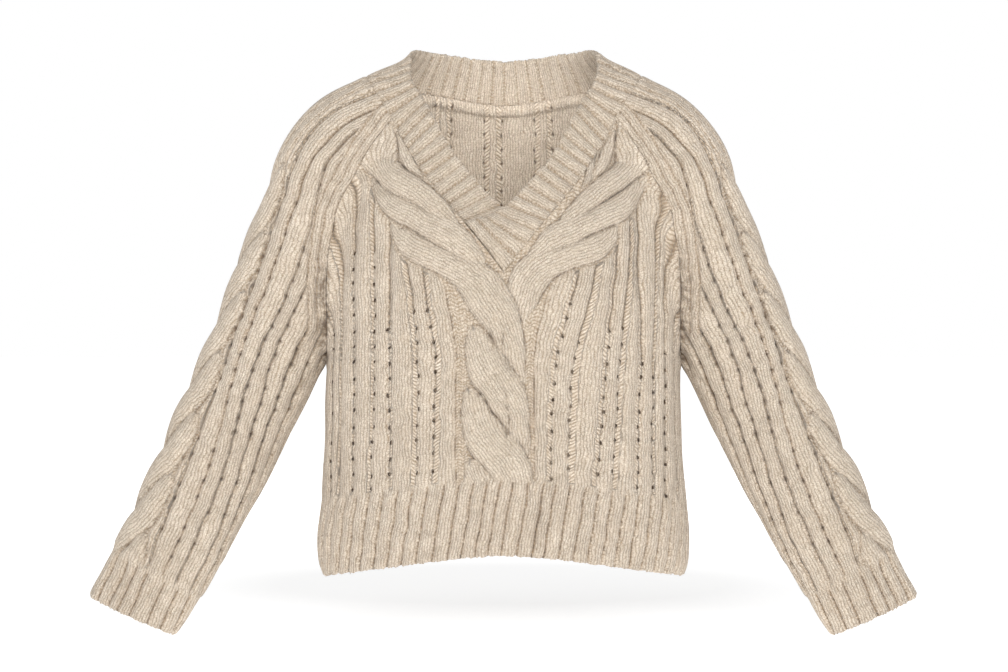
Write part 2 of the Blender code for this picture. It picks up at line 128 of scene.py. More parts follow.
# free edge of the neckband beside each place of its seam: azimuth of the seam, azimuth and height of the
# free edge
FREE_EDGE = (
    ("crossed_end", 0.0, -20.6, -0.1610),
    ("v_point", 20.6, 0.0, -0.1450),
    ("v_low", 31.0, 15.6, -0.1176),
    ("v_high", 50.0, 38.0, -0.0728),
    ("collar", 58.5, 49.5, -0.0451),
    ("raglan", 65.8, 58.5, -0.0240),
    ("side", 78.0, 72.0, 0.0050),
    ("shoulder_front", 86.0, 83.0, 0.0210),
    ("shoulder", 95.0, 93.0, 0.0280),
    ("raglan_back", 123.0, 121.0, 0.0305),
    ("back", 150.0, 150.0, 0.0265),
    ("middle_back", 180.0, 180.0, 0.0230),
)
CROSSING_HEIGHT = -0.161
TUCKED_FULLY = 26.0
TUCKED_FROM = 50.0

HEM_SIDE = -0.540
FRONT_ARCH = 0.029
BACK_ARCH = 0.018
RIB_HEIGHT = 0.076
CUFF_LENGTH = 0.048
CUFF_TILT = math.radians(-6.0)

BODY_COLUMNS = 24
HEM_ROWS = 6
BODY_ROWS = 16
RAGLAN_ROWS = 26
TIP_ROW = 10
RAGLAN_CROWDING = 1.35
SLEEVE_HALF_COLUMNS = 20
SLEEVE_ROWS = 18
CUFF_ROWS = 4
BAND_COLUMNS = 6


def smooth(rows, key, value, at):
    """Value of one column of a table where its key column is `at`, on a smooth curve through the rows."""
    x = np.array([row[key] for row in rows], float)
    y = np.array([row[value] for row in rows], float)
    if x[0] > x[-1]:
        x, y = x[::-1], y[::-1]
    at = np.clip(np.asarray(at, float), x[0], x[-1])
    width = np.diff(x)
    slope = np.diff(y) / width
    tangent = np.empty_like(y)
    tangent[0], tangent[-1] = slope[0], slope[-1]
    tangent[1:-1] = (slope[:-1] * width[1:] + slope[1:] * width[:-1]) / (width[1:] + width[:-1])
    cell = np.clip(np.searchsorted(x, at, side="right") - 1, 0, len(x) - 2)
    t = (at - x[cell]) / width[cell]
    rise = y[cell] + (y[cell + 1] - y[cell]) * (3 - 2 * t) * t**2
    leave = tangent[cell] * t * (1 - t) ** 2
    arrive = tangent[cell + 1] * t**2 * (1 - t)
    return rise + width[cell] * (leave - arrive)


def draw(seed):
    """Random numbers, the same ones for the same seed."""
    return np.random.default_rng(seed)


def unit(vectors):
    """The vectors at length one."""
    return vectors / np.maximum(np.linalg.norm(vectors, axis=-1, keepdims=True), 1e-12)


def section_lengths():
    """Length along the arm's line at each row of the ARM table."""
    middles = np.array([row[1:3] for row in ARM])
    return np.concatenate([[0], np.cumsum(np.hypot(*np.diff(middles, axis=0).T))])


ARM_LENGTHS = section_lengths()


def arm_line():
    """Evenly spaced sections of the arm: x, z, half width, half depth, y, and the length so far."""
    rows = [(length, *row[1:]) for row, length in zip(ARM, ARM_LENGTHS)]
    at = np.linspace(0, ARM_LENGTHS[-1], ARM_SAMPLES)
    return np.stack([smooth(rows, 0, column, at) for column in range(1, 6)] + [at], axis=1)


ARM_LINE = arm_line()


def arm_section(length):
    """Middle of the arm at a length along it, and the outward direction across it in the front view."""
    span = 1.5 * ARM_LENGTHS[-1] / ARM_SAMPLES
    ends = np.clip([length - span, length + span], 0, ARM_LENGTHS[-1])
    middle = [np.interp(length, ARM_LINE[:, 5], ARM_LINE[:, column]) for column in (0, 4, 1)]
    along_x, along_z = (np.diff(np.interp(ends, ARM_LINE[:, 5], ARM_LINE[:, column]))[0] for column in (0, 1))
    return np.array(middle), unit(np.array([-along_z, 0, along_x]))


def torso_distance(points):
    """Rough distance outside the torso, measured level from its middle."""
    x, y, z = points.T
    half = smooth(TORSO, 1, 2, z)
    depth = np.where(y < 0, smooth(TORSO, 1, 3, z), smooth(TORSO, 1, 4, z))
    ratio = (np.abs(x / half) ** TORSO_POWER + np.abs(y / depth) ** TORSO_POWER + 1e-9) ** (1 / TORSO_POWER)
    reach = np.hypot(x, y) + 1e-6
    return reach - reach / ratio


def arm_places(points):
    """Nearest section of the arm's line to each point, and its distance outwards across the line."""
    start, end = ARM_LINE[:-1], ARM_LINE[1:]
    side = (end - start)[:, :2]
    away = np.stack([np.abs(points[:, 0]), points[:, 2]], axis=1)[:, None] - start[:, :2]
    share = np.clip((away * side).sum(2) / (side**2).sum(1), 0, 1)
    across = np.linalg.norm(away - share[..., None] * side, axis=2)
    nearest = across.argmin(1)
    every = np.arange(len(points))
    share, across, away = share[every, nearest], across[every, nearest], away[every, nearest]
    side = side[nearest]
    outward = np.sign(side[:, 0] * away[:, 1] - side[:, 1] * away[:, 0])
    return start[nearest] + share[:, None] * (end - start)[nearest], outward * across


def arm_distance(points):
    """Rough distance outside the arm, measured across its line."""
    section, across = arm_places(points)
    deep = points[:, 1] - section[:, 4]
    ratio = np.sqrt((across / section[:, 2]) ** 2 + (deep / section[:, 3]) ** 2 + 1e-12)
    reach = np.hypot(across, deep) + 1e-8
    return reach - reach / ratio


def outside(points):
    """Rough distance outside the form: the arms blend into the torso, tightly in the notch under each arm."""
    torso, arm = torso_distance(points), arm_distance(points)
    depth = np.minimum(np.abs(points[:, 1]) / BLEND_DEPTH, 1) ** 2
    blend = BLEND_IN_NOTCH + (BLEND_IN_FRONT - BLEND_IN_NOTCH) * depth
    overlap = np.maximum(blend - np.abs(torso - arm), 0) / blend
    return np.minimum(torso, arm) - overlap**2 * blend / 4


def cast(origin, direction, reach=0.30, steps=60):
    """Points where rays from inside the form first leave it."""
    origin, direction = np.broadcast_arrays(np.atleast_2d(origin), np.atleast_2d(direction))
    direction = unit(direction)
    near = np.zeros(len(origin))
    still_inside = np.ones(len(origin), bool)
    for far in np.linspace(0, reach, steps):
        still_inside &= outside(origin + far * direction) < 0
        near = np.where(still_inside, far, near)
    far = near + reach / (steps - 1)
    for _ in range(20):
        middle = (near + far) / 2
        out = outside(origin + middle[:, None] * direction) > 0
        far = np.where(out, middle, far)
        near = np.where(out, near, middle)
    return origin + far[:, None] * direction


def normals(points, step=0.0008):
    """Outward directions of the form's surface at points on it."""
    flat = points.reshape(-1, 3)
    slope = [outside(flat + step * axis) - outside(flat - step * axis) for axis in np.eye(3)]
    return unit(np.stack(slope, axis=1)).reshape(points.shape)


def at_azimuth(azimuth, height):
    """Points of the form at azimuths in degrees, seen from the middle of the neck, and heights."""
    turn = np.radians(azimuth)
    origin = np.stack([0 * turn, 0 * turn, height + 0 * turn], axis=1)
    return cast(origin, np.stack([np.sin(turn), -np.cos(turn), 0 * turn], axis=1))


def azimuth_of(points):
    return np.degrees(np.arctan2(points[..., 0], -points[..., 1]))


def mirrored(points):
    return points * [-1, 1, 1]


def underarm_point():
    """Highest point of the notch between sleeve and body, where side seam, sleeve seam and raglans meet."""
    across = np.linspace(0.185, 0.215, 121)
    origin = np.stack([across, 0 * across, 0 * across - 0.25], axis=1)
    notch = cast(origin, [0, 0, -1], reach=0.15)
    return notch[notch[:, 2].argmax()]


UNDERARM = underarm_point()


def raglan(table, face):
    """Points of a raglan seam on the +X side, from the underarm up to the collar."""
    share = np.linspace(0, 1, RAGLAN_ROWS + 1) ** RAGLAN_CROWDING
    height = UNDERARM[2] + share * (table[0][1] - UNDERARM[2])
    across = smooth(table, 1, 2, height) + (UNDERARM[0] - table[-1][2]) * (1 - share) ** 8
    points = cast(np.stack([across, 0 * across, height], axis=1), [0, face, 0])
    points[0] = UNDERARM
    return points


RAGLAN = {FRONT: raglan(FRONT_RAGLAN, FRONT), BACK: raglan(BACK_RAGLAN, BACK)}


def body_row(inner, outer, face):
    """A row of body points on the +X side, between a point on the middle line or the V and one on a seam."""
    share = np.linspace(0, 1, BODY_COLUMNS + 1)
    start, end = 0.68 * inner[0], 0.68 * outer[0]
    start_turn = math.atan2(inner[0] - start, abs(inner[1]))
    end_turn = math.atan2(outer[0] - end, abs(outer[1]))
    turn = start_turn + (end_turn - start_turn) * share**1.5
    height = inner[2] + (outer[2] - inner[2]) * (1 - np.cos(np.pi * share)) / 2
    origin = np.stack([start + (end - start) * share, 0 * share, height], axis=1)
    row = cast(origin, np.stack([np.sin(turn), face * np.cos(turn), 0 * turn], axis=1))
    row[0], row[-1] = inner, outer
    return row


def middle_points(heights, face):
    """Points on the body's middle line."""
    origin = np.stack([0 * heights, 0 * heights, heights], axis=1)
    return cast(origin, [0, face, 0])


def v_edge():
    """Points of the collar seam on the front, from the tip of the V to the raglan."""
    points = v_point(np.linspace(V_EDGE[0][1], V_EDGE[-1][1], RAGLAN_ROWS - TIP_ROW + 1))
    points[-1] = RAGLAN[FRONT][-1]
    return points


def v_point(height):
    """Points of the collar seam on the front at heights."""
    across = smooth(V_EDGE, 1, 2, height)
    return cast(np.stack([across, 0 * across, height], axis=1), [0, FRONT, 0])


def body_grid(face):
    """All rows of the +X half of the front or back, from the hem's edge to the neck, and their heights."""
    rib_top = HEM_SIDE + RIB_HEIGHT
    rib = np.linspace(HEM_SIDE, rib_top, HEM_ROWS + 1)
    plain = np.linspace(rib_top, UNDERARM[2], BODY_ROWS + 1)[1:]
    side = np.concatenate([rib, plain])
    arch = FRONT_ARCH if face == FRONT else BACK_ARCH
    middle = side + arch * np.clip((UNDERARM[2] - side) / (UNDERARM[2] - rib_top), 0, 1)
    seam = cast(np.stack([0 * side, 0 * side, side], axis=1), [1, 0, 0])
    seam[-1] = UNDERARM
    outer = np.concatenate([seam, RAGLAN[face][1:]])
    if face == FRONT:
        up_to_tip = np.linspace(UNDERARM[2], V_EDGE[0][1], TIP_ROW + 1)[1:]
        inner = np.concatenate([middle_points(np.concatenate([middle, up_to_tip]), face), v_edge()[1:]])
    else:
        up_to_neck = np.linspace(UNDERARM[2], BACK_NECK_HEIGHT, RAGLAN_ROWS + 1)[1:]
        inner = middle_points(np.concatenate([middle, up_to_neck]), face)
    return np.array([body_row(start, end, face) for start, end in zip(inner, outer)])


def sleeve_row(length, front=None, back=None, tilt=0.0):
    """A row round the sleeve from the front seam over the top to the back seam, or closed at the underarm."""
    middle, out = arm_section(length)
    turned = complex(out[0], out[2]) * complex(math.cos(tilt), math.sin(tilt))
    out = np.array([turned.real, 0, turned.imag])
    back_way = np.array([0.0, 1.0, 0.0])
    along = np.cross(out, back_way)
    row = []
    for face, seam in ((FRONT, front), (BACK, back)):
        share = np.linspace(0, 1, SLEEVE_HALF_COLUMNS + 1)
        turn, lean = face * math.pi, 0.0
        if seam is not None:
            to_seam = seam - middle
            turn = math.atan2(to_seam @ back_way, to_seam @ out)
            lean = math.atan2(to_seam @ along, math.hypot(to_seam @ back_way, to_seam @ out))
        turn, lean = turn * share[:, None], lean * share[:, None] ** 2
        across = np.cos(turn) * out + np.sin(turn) * back_way
        points = cast(middle, np.cos(lean) * across + np.sin(lean) * along, reach=0.15)
        if seam is not None:
            points[-1] = seam
        row.append(points)
    return np.concatenate([row[0][::-1], row[1][1:]])


def underarm_length():
    """Length along the arm where its section passes through the underarm point."""
    lengths = np.linspace(ARM_LENGTHS[COLLAR_SECTION], ARM_LENGTHS[-1], 400)
    sections = [arm_section(length) for length in lengths]
    miss = [abs((UNDERARM - middle) @ np.cross(out, [0, 1, 0])) for middle, out in sections]
    return lengths[int(np.argmin(miss))]


def sleeve_grid():
    """All rows of the +X sleeve, from the cuff's edge to the collar, and each row's length along the arm."""
    under = underarm_length()
    cuff_top = ARM_LENGTHS[-1] - CUFF_LENGTH
    cuff = np.linspace(ARM_LENGTHS[-1] - 1e-4, cuff_top, CUFF_ROWS + 1)
    tube = np.linspace(cuff_top, under, SLEEVE_ROWS + 1)[1:]
    cap = np.linspace(under, ARM_LENGTHS[COLLAR_SECTION], RAGLAN_ROWS + 1)[1:]
    rows = [sleeve_row(length, tilt=CUFF_TILT * (length - cuff_top) / CUFF_LENGTH) for length in cuff]
    rows += [sleeve_row(length) for length in tube]
    rows[-1][0] = rows[-1][-1] = UNDERARM
    seams = zip(cap, RAGLAN[FRONT][1:], RAGLAN[BACK][1:])
    rows += [sleeve_row(length, front, back) for length, front, back in seams]
    return np.array(rows), np.concatenate([cuff, tube, cap])


def band_rows(seam):
    """Rows across the +X half of the neckband, one for each point of its seam."""
    azimuth = azimuth_of(seam)
    share = np.linspace(0, 1, BAND_COLUMNS + 1)
    rows = []
    for point, start in zip(seam, azimuth):
        end, end_height = (smooth(FREE_EDGE, 1, column, start) for column in (2, 3))
        row = at_azimuth(start + (end - start) * share, point[2] + (end_height - point[2]) * share)
        row[0] = point
        rows.append(row)
    rows[0] = mirrored(v_point(np.linspace(V_EDGE[0][1], CROSSING_HEIGHT, BAND_COLUMNS + 1)))
    return np.array(rows)


# ---- fine grids ------------------------------------------------------------------------------------------

ROW_STEP = 0.0025
SEAM_GAP = 0.0001


def curve(values, at, before=None, after=None):
    """Values at fractional places along the first axis, on a smooth curve through them."""
    before = 2 * values[0] - values[1] if before is None else before
    after = 2 * values[-1] - values[-2] if after is None else after
    padded = np.concatenate([[before], values, [after]])
    at = np.asarray(at, float)
    cell = np.clip(np.floor(at).astype(int), 0, len(values) - 2)
    t = (at - cell).reshape(-1, *([1] * (values.ndim - 1)))
    a, b, c, d = (padded[cell + step] for step in range(4))
    return 0.5 * (2 * b + (c - a) * t + (2 * a - 5 * b + 4 * c - d) * t**2 + (3 * b - a - 3 * c + d) * t**3)


def running_length(points):
    """Length along a line of points, from its start to each of them."""
    return np.concatenate([[0], np.cumsum(np.linalg.norm(np.diff(points, axis=0), axis=1))])


def fine_places(points, shares):
    """Fractional numbers of the places at these shares of the length along a line of points."""
    length = running_length(points)
    if length[-1] < 1e-6:
        return shares * (len(points) - 1)
    return np.interp(shares * length[-1], length, np.arange(len(points)))


def row_places(points, stops):
    """Fractional row numbers about ROW_STEP apart along a line of points, which include all the stops."""
    length = running_length(points)
    places = []
    for start, end in zip(stops, stops[1:]):
        count = max(1, round((length[end] - length[start]) / ROW_STEP))
        at = np.linspace(length[start], length[end], count + 1)
        places.append(np.interp(at, length, np.arange(len(points)))[: count + (end == stops[-1])])
    return np.concatenate(places)


def fine_rows(grid, places, stops):
    """The grid's rows at fractional numbers, smooth between stops, where the edges may turn a corner."""
    parts = []
    for start, end in zip(stops, stops[1:]):
        inside = (places >= start) & ((places < end) | (end == stops[-1]))
        parts.append(curve(grid[start : end + 1], places[inside] - start))
    return np.concatenate(parts)


def column_shares(width, fine_width, fine_step, step):
    """Shares of a row's length, closer together in its first part."""
    fine = np.arange(0, fine_width, fine_step)
    wide = np.linspace(fine_width, width, round((width - fine_width) / step) + 1)
    return np.concatenate([fine, wide]) / width


# ---- places on the form ----------------------------------------------------------------------------------

SECTION_RATIO = 0.625


def arc_of_turn():
    """Length round a quarter of the torso's section of half width 1, against its turning angle."""
    turn = np.linspace(0, math.pi / 2, 1500)
    x = np.sin(turn) ** (2 / TORSO_POWER)
    y = SECTION_RATIO * np.cos(turn) ** (2 / TORSO_POWER)
    return turn, np.concatenate([[0], np.cumsum(np.hypot(np.diff(x), np.diff(y)))])


TURN, ARC = arc_of_turn()


def round_body(points):
    """Distance round the torso from its middle line, negative on the -X side."""
    x, y, z = np.moveaxis(points, -1, 0)
    half = smooth(TORSO, 1, 2, z)
    depth = np.where(y < 0, smooth(TORSO, 1, 3, z), smooth(TORSO, 1, 4, z))
    power = TORSO_POWER / 2
    turn = np.arctan2(np.abs(x / half) ** power, np.abs(y / depth) ** power)
    return np.sign(x) * half * np.interp(turn, TURN, ARC)


def round_sleeve(points, steps=24):
    """Length along the arm, and distance round the sleeve from its top line, positive on the front."""
    section, across = arm_places(points.reshape(-1, 3))
    half, depth = section[:, 2], section[:, 3]
    turn = np.arctan2(np.abs(points.reshape(-1, 3)[:, 1] - section[:, 4]) / depth, across / half)
    share = (np.arange(steps)[:, None] + 0.5) / steps
    arc = np.hypot(half * np.sin(share * turn), depth * np.cos(share * turn)).mean(0) * turn
    arc, length = arc.reshape(points.shape[:2]), section[:, 5].reshape(points.shape[:2])
    arc[:, points.shape[1] // 2 :] *= -1
    return length, arc


# ---- knitting: ribs, lace columns and cables -------------------------------------------------------------

STITCH = 0.0031
COURSE = 0.0026
RIB_CROWN = 0.0034
GROUND = -0.0009
GROOVE_DEPTH = 0.0026
GROOVE_WIDTH = 0.0021
LACE_GROOVE_SHARE = 0.15
PIT_DEPTH = 0.0009
PIT_RADIUS = 0.0024
LATTICE_HEIGHT = 0.0004
CREASE = 0.0022
STRAND_LIFT = 1.45
# CREASE_STEP and FURROW_DARK set how dark the painted shade is along strand edges and in furrows
CREASE_STEP = 0.0055
FURROW_DARK = 0.8
WANDER = 0.0006
WANDER_SIZE = 0.030
SEAM_ROLL = 0.0045
SEAM_ROLL_WIDTH = 0.0058
SEAM_ROLL_KNOT = 0.0075
HEM_GROOVE_DEPTH = 0.0026
HEM_BLEND = 0.012
MARGIN = 0.015


def ease(low, high, value):
    """0 below `low`, 1 above `high`, and a soft rise between them."""
    t = np.clip((value - low) / (high - low), 0, 1)
    return t * t * (3 - 2 * t)


def crown(t, power=2.1):
    """Rounded profile across a rib or a cable strand: 1 in the middle and 0 where `t` is 1 or more."""
    return np.sqrt(np.maximum(1 - np.abs(t) ** power, 0))


def waves(points, size, seed):
    """Soft uneven waves of about one unit over the surface, with bumps of the given size in metres."""
    random = draw(seed)
    total = 0
    for _ in range(6):
        way = random.normal(size=3)
        way *= 2 * math.pi / (size * random.uniform(0.7, 1.6) * np.linalg.norm(way))
        total = total + np.sin(points @ way + random.uniform(0, 2 * math.pi))
    return total / 2.5


class Knit:
    """Fields of one piece of knitting on a grid: height, reverse stitches, lattice and stitch places."""

    def __init__(self, height, purl, lattice, across, along):
        self.height = height
        self.purl = purl
        self.lattice = lattice
        self.strand = np.zeros(height.shape, bool)
        # painted shade along creases, furrows and the fold under the arm
        self.crease = np.zeros(height.shape)
        self.lining = np.zeros(height.shape)
        self.layers = [(across, along)]
        self.layer = np.zeros(height.shape, int)
        self.relief = height

    def wave(self, points):
        """Adds soft waves of the cloth to the height. The relief of the knitting stays as it is."""
        self.relief = self.height
        self.height = self.height + WAVE * waves(points, WAVE_SIZE, 5)

    def part(self, rows):
        """The same fields on some of the rows."""
        part = copy.copy(self)
        for field in ("height", "relief", "purl", "lattice", "crease", "lining", "layer"):
            setattr(part, field, getattr(self, field)[rows])
        part.layers = [(across[rows], along[rows]) for across, along in self.layers]
        return part


def ribs_between(across, along, places, lattice, depth=GROOVE_DEPTH):
    """Plain ribs between grooves, each with a band of slanted lattice stitches on each side."""
    lattice = np.asarray(lattice, float) * MM
    cell = np.clip((across[..., None] >= places).sum(-1) - 1, 0, places.shape[-1] - 2)
    left = np.take_along_axis(places, cell[..., None], -1)[..., 0]
    right = np.take_along_axis(places, cell[..., None] + 1, -1)[..., 0]
    start, end = left + lattice[cell, 1], right - lattice[cell + 1, 0]
    t = (2 * across - start - end) / np.maximum(end - start, STITCH)
    rib = RIB_CROWN * crown(t) + GROUND
    band = np.abs(t) >= 1
    beside_band = np.where(t < 0, lattice[cell, 1], lattice[cell + 1, 0]) > 0
    rib = np.where(beside_band, np.maximum(rib, LATTICE_HEIGHT), rib)
    height = np.where(band, LATTICE_HEIGHT, rib)
    to_left = np.abs(across - left) < np.abs(right - across)
    away = np.where(to_left, np.abs(across - left), np.abs(right - across))
    depths = np.broadcast_to(depth, places.shape)
    depth = np.take_along_axis(depths, (cell + ~to_left)[..., None], -1)[..., 0]
    height = height - (depth + np.where(band, LATTICE_HEIGHT, 0)) * np.exp(-((away / GROOVE_WIDTH) ** 2))
    slant = np.where(band, np.where(to_left, 1.0, -1.0), 0.0)
    purl = ease(0.9, 0.4, away / GROOVE_WIDTH) * ~band
    width = np.median(np.diff(places.reshape(-1, places.shape[-1]), axis=1), axis=0)
    wales = np.maximum(np.round(width / STITCH), 1)
    before = np.concatenate([[0], np.cumsum(wales)])
    stitches = before[cell] + wales[cell] * (across - left) / np.maximum(right - left, STITCH)
    return Knit(height, purl, slant, stitches, along / COURSE)


class Path:
    """A line drawn over the piece in its own measures, with further columns that vary along it."""

    SAMPLES = 60

    def __init__(self, rows):
        rows = np.array(rows, float) * MM
        self.rows = curve(rows, np.linspace(0, len(rows) - 1, self.SAMPLES))

    def beside(self, across, height, reach):
        """Places within reach of the line: a mask, signed distance, length along it, further columns."""
        line = self.rows[:, :2]
        start, side = line[:-1], np.diff(line, axis=0)
        size = (side**2).sum(1)
        low, high = line.min(0) - reach, line.max(0) + reach
        near = (across > low[0]) & (across < high[0]) & (height > low[1]) & (height < high[1])
        away = np.stack([across[near], height[near]], axis=1)[:, None] - start
        share = np.clip((away * side).sum(2) / size, 0, 1)
        distance = np.linalg.norm(away - share[..., None] * side, axis=2)
        best = distance.argmin(1)
        every = np.arange(len(best))
        share, distance, away = share[every, best], distance[every, best], away[every, best]
        turn = np.sign(side[best, 0] * away[:, 1] - side[best, 1] * away[:, 0])
        columns = self.rows[best, 2:] + share[:, None] * (self.rows[best + 1, 2:] - self.rows[best, 2:])
        length = running_length(line)[best] + share * np.sqrt(size[best])
        return near, turn * distance, length, *columns.T


def lay_strand(knit, rows, across, height, lifted=STRAND_LIFT):
    """Raises the knitting to a cable strand where the strand is higher, with a purl margin beside it and
    painted shade along its edge.
    """
    path = Path(rows)
    reach = path.rows[:, 2].max() + MARGIN
    near, aside, length, width, lift = path.beside(across, height, reach)
    width = np.maximum(width, 0.0015)
    gap = np.abs(aside) - width
    margin = ease(0.001, 0.0055, gap)
    base, strand_below = knit.height[near], knit.strand[near]
    lift = lift * lifted
    crease = CREASE * np.exp(-((gap / 0.0022) ** 2)) * (gap > 0) * (lift + GROUND > base)
    ground = np.where(strand_below, base - crease, GROUND + (base - GROUND) * margin)
    rise = np.where(gap < 0, GROUND + lift * crown(aside / width), -1.0)
    over = rise > ground
    purl = np.where(strand_below, knit.purl[near], np.maximum(knit.purl[near], 1 - margin))
    # painted shade along the strand's edge, darker the higher the strand stands over the knitting beside it
    step = np.clip((lift + GROUND - base) / CREASE_STEP, 0, 1)
    edge_shade = step * np.exp(-((gap / np.where(gap > 0, 0.0014, 0.0006)) ** 2))
    knit.crease[near] = np.where(over, edge_shade, np.maximum(knit.crease[near], edge_shade))
    knit.strand[near] |= over
    knit.height[near] = np.where(over, rise, ground)
    knit.purl[near] = np.where(over, 0, purl)
    knit.lattice[near] = np.where(over, 0, knit.lattice[near] * margin)
    knit.layer[near] = np.where(over, len(knit.layers), knit.layer[near])
    stitches, courses = np.zeros(across.shape), np.zeros(across.shape)
    stitches[near], courses[near] = aside / STITCH + 0.5, length / COURSE
    knit.layers.append((stitches, courses))


def draw_furrow(knit, rows, across, height):
    """Presses a soft trough into the knitting along a line, with painted shade in it."""
    path = Path(rows)
    near, aside, _, width, depth = path.beside(across, height, 3 * path.rows[:, 2].max())
    hollow = np.exp(-((aside / width) ** 2))
    knit.height[near] -= depth * hollow
    knit.crease[near] = np.maximum(knit.crease[near], hollow**2 * np.clip(depth / width * FURROW_DARK, 0, 1))


# columns of lace holes on the front, in millimetres: height, then each column's distance round the body
FRONT_COLUMNS = (
    # height, side, a4, a3, a2, a1, b2, b1, c2, c1, panel edges, c1, c2, b1, b2, a1, a2, a3, a4, side
    (-540, -262, -234, -214, -195, -173, -146, -123, -94, -79, -50,
     32, 48, 65, 94, 113, 146, 167, 188, 212, 234, 262),
    (-470, -260, -233, -213, -194, -172, -146, -123, -93, -78, -50,
     32, 49, 66, 96, 115, 147, 168, 188, 211, 233, 260),
    (-410, -258, -232, -213, -193, -171, -145, -123, -92, -74, -50,
     32, 50, 68, 101, 118, 149, 168, 189, 210, 232, 258),
    (-350, -256, -231, -212, -192, -170, -143, -124, -91, -73, -50,
     32, 52, 70, 107, 123, 151, 169, 190, 209, 231, 256),
    (-300, -255, -230, -211, -191, -170, -142, -124, -91, -72, -50,
     32, 56, 75, 112, 127, 155, 170, 191, 209, 230, 255),
    (-250, -254, -229, -210, -190, -171, -141, -124, -96, -81, -58,
     42, 70, 90, 118, 133, 153, 173, 191, 208, 229, 254),
    (-200, -253, -228, -209, -188, -173, -143, -124, -104, -88, -70,
     60, 84, 101, 124, 139, 150, 177, 190, 207, 228, 253),
    (-150, -251, -226, -205, -181, -169, -147, -126, -112, -98, -84,
     76, 95, 108, 128, 141, 153, 174, 183, 202, 226, 251),
    (-100, -248, -222, -198, -171, -157, -145, -131, -120, -110, -98,
     90, 104, 116, 131, 144, 152, 160, 174, 198, 222, 248),
    (-40, -240, -214, -190, -160, -148, -138, -128, -119, -111, -100,
     96, 108, 118, 130, 140, 148, 158, 170, 190, 214, 240),
)

# what stands beside each of those columns, in millimetres: lattice on its -X side and on its +X side, height
# of its highest hole, or None
FRONT_LACE = (
    ("side", 0.0, 0.0, None),
    ("a4", 4.0, 0.0, -250),
    ("a3", 0.0, 4.0, -262),
    ("a2", 4.0, 0.0, None),
    ("a1", 0.0, 4.5, -192),
    ("b2", 5.0, 0.0, -192),
    ("b1", 0.0, 4.0, -276),
    ("c2", 6.5, 0.0, -257),
    ("c1", 0.0, 7.0, -253),
    ("panel", 0.0, 0.0, None),
    ("panel", 0.0, 0.0, None),
    ("c1", 6.0, 0.0, -246),
    ("c2", 0.0, 8.0, -286),
    ("b1", 6.0, 0.0, -276),
    ("b2", 0.0, 7.0, -273),
    ("a1", 6.0, 0.0, -309),
    ("a2", 0.0, 4.0, -324),
    ("a3", 4.0, 0.0, -300),
    ("a4", 0.0, 4.0, -262),
    ("a5", 4.0, 0.0, -250),
    ("side", 0.0, 0.0, None),
)
FRONT_HOLE_PITCH = 0.0168

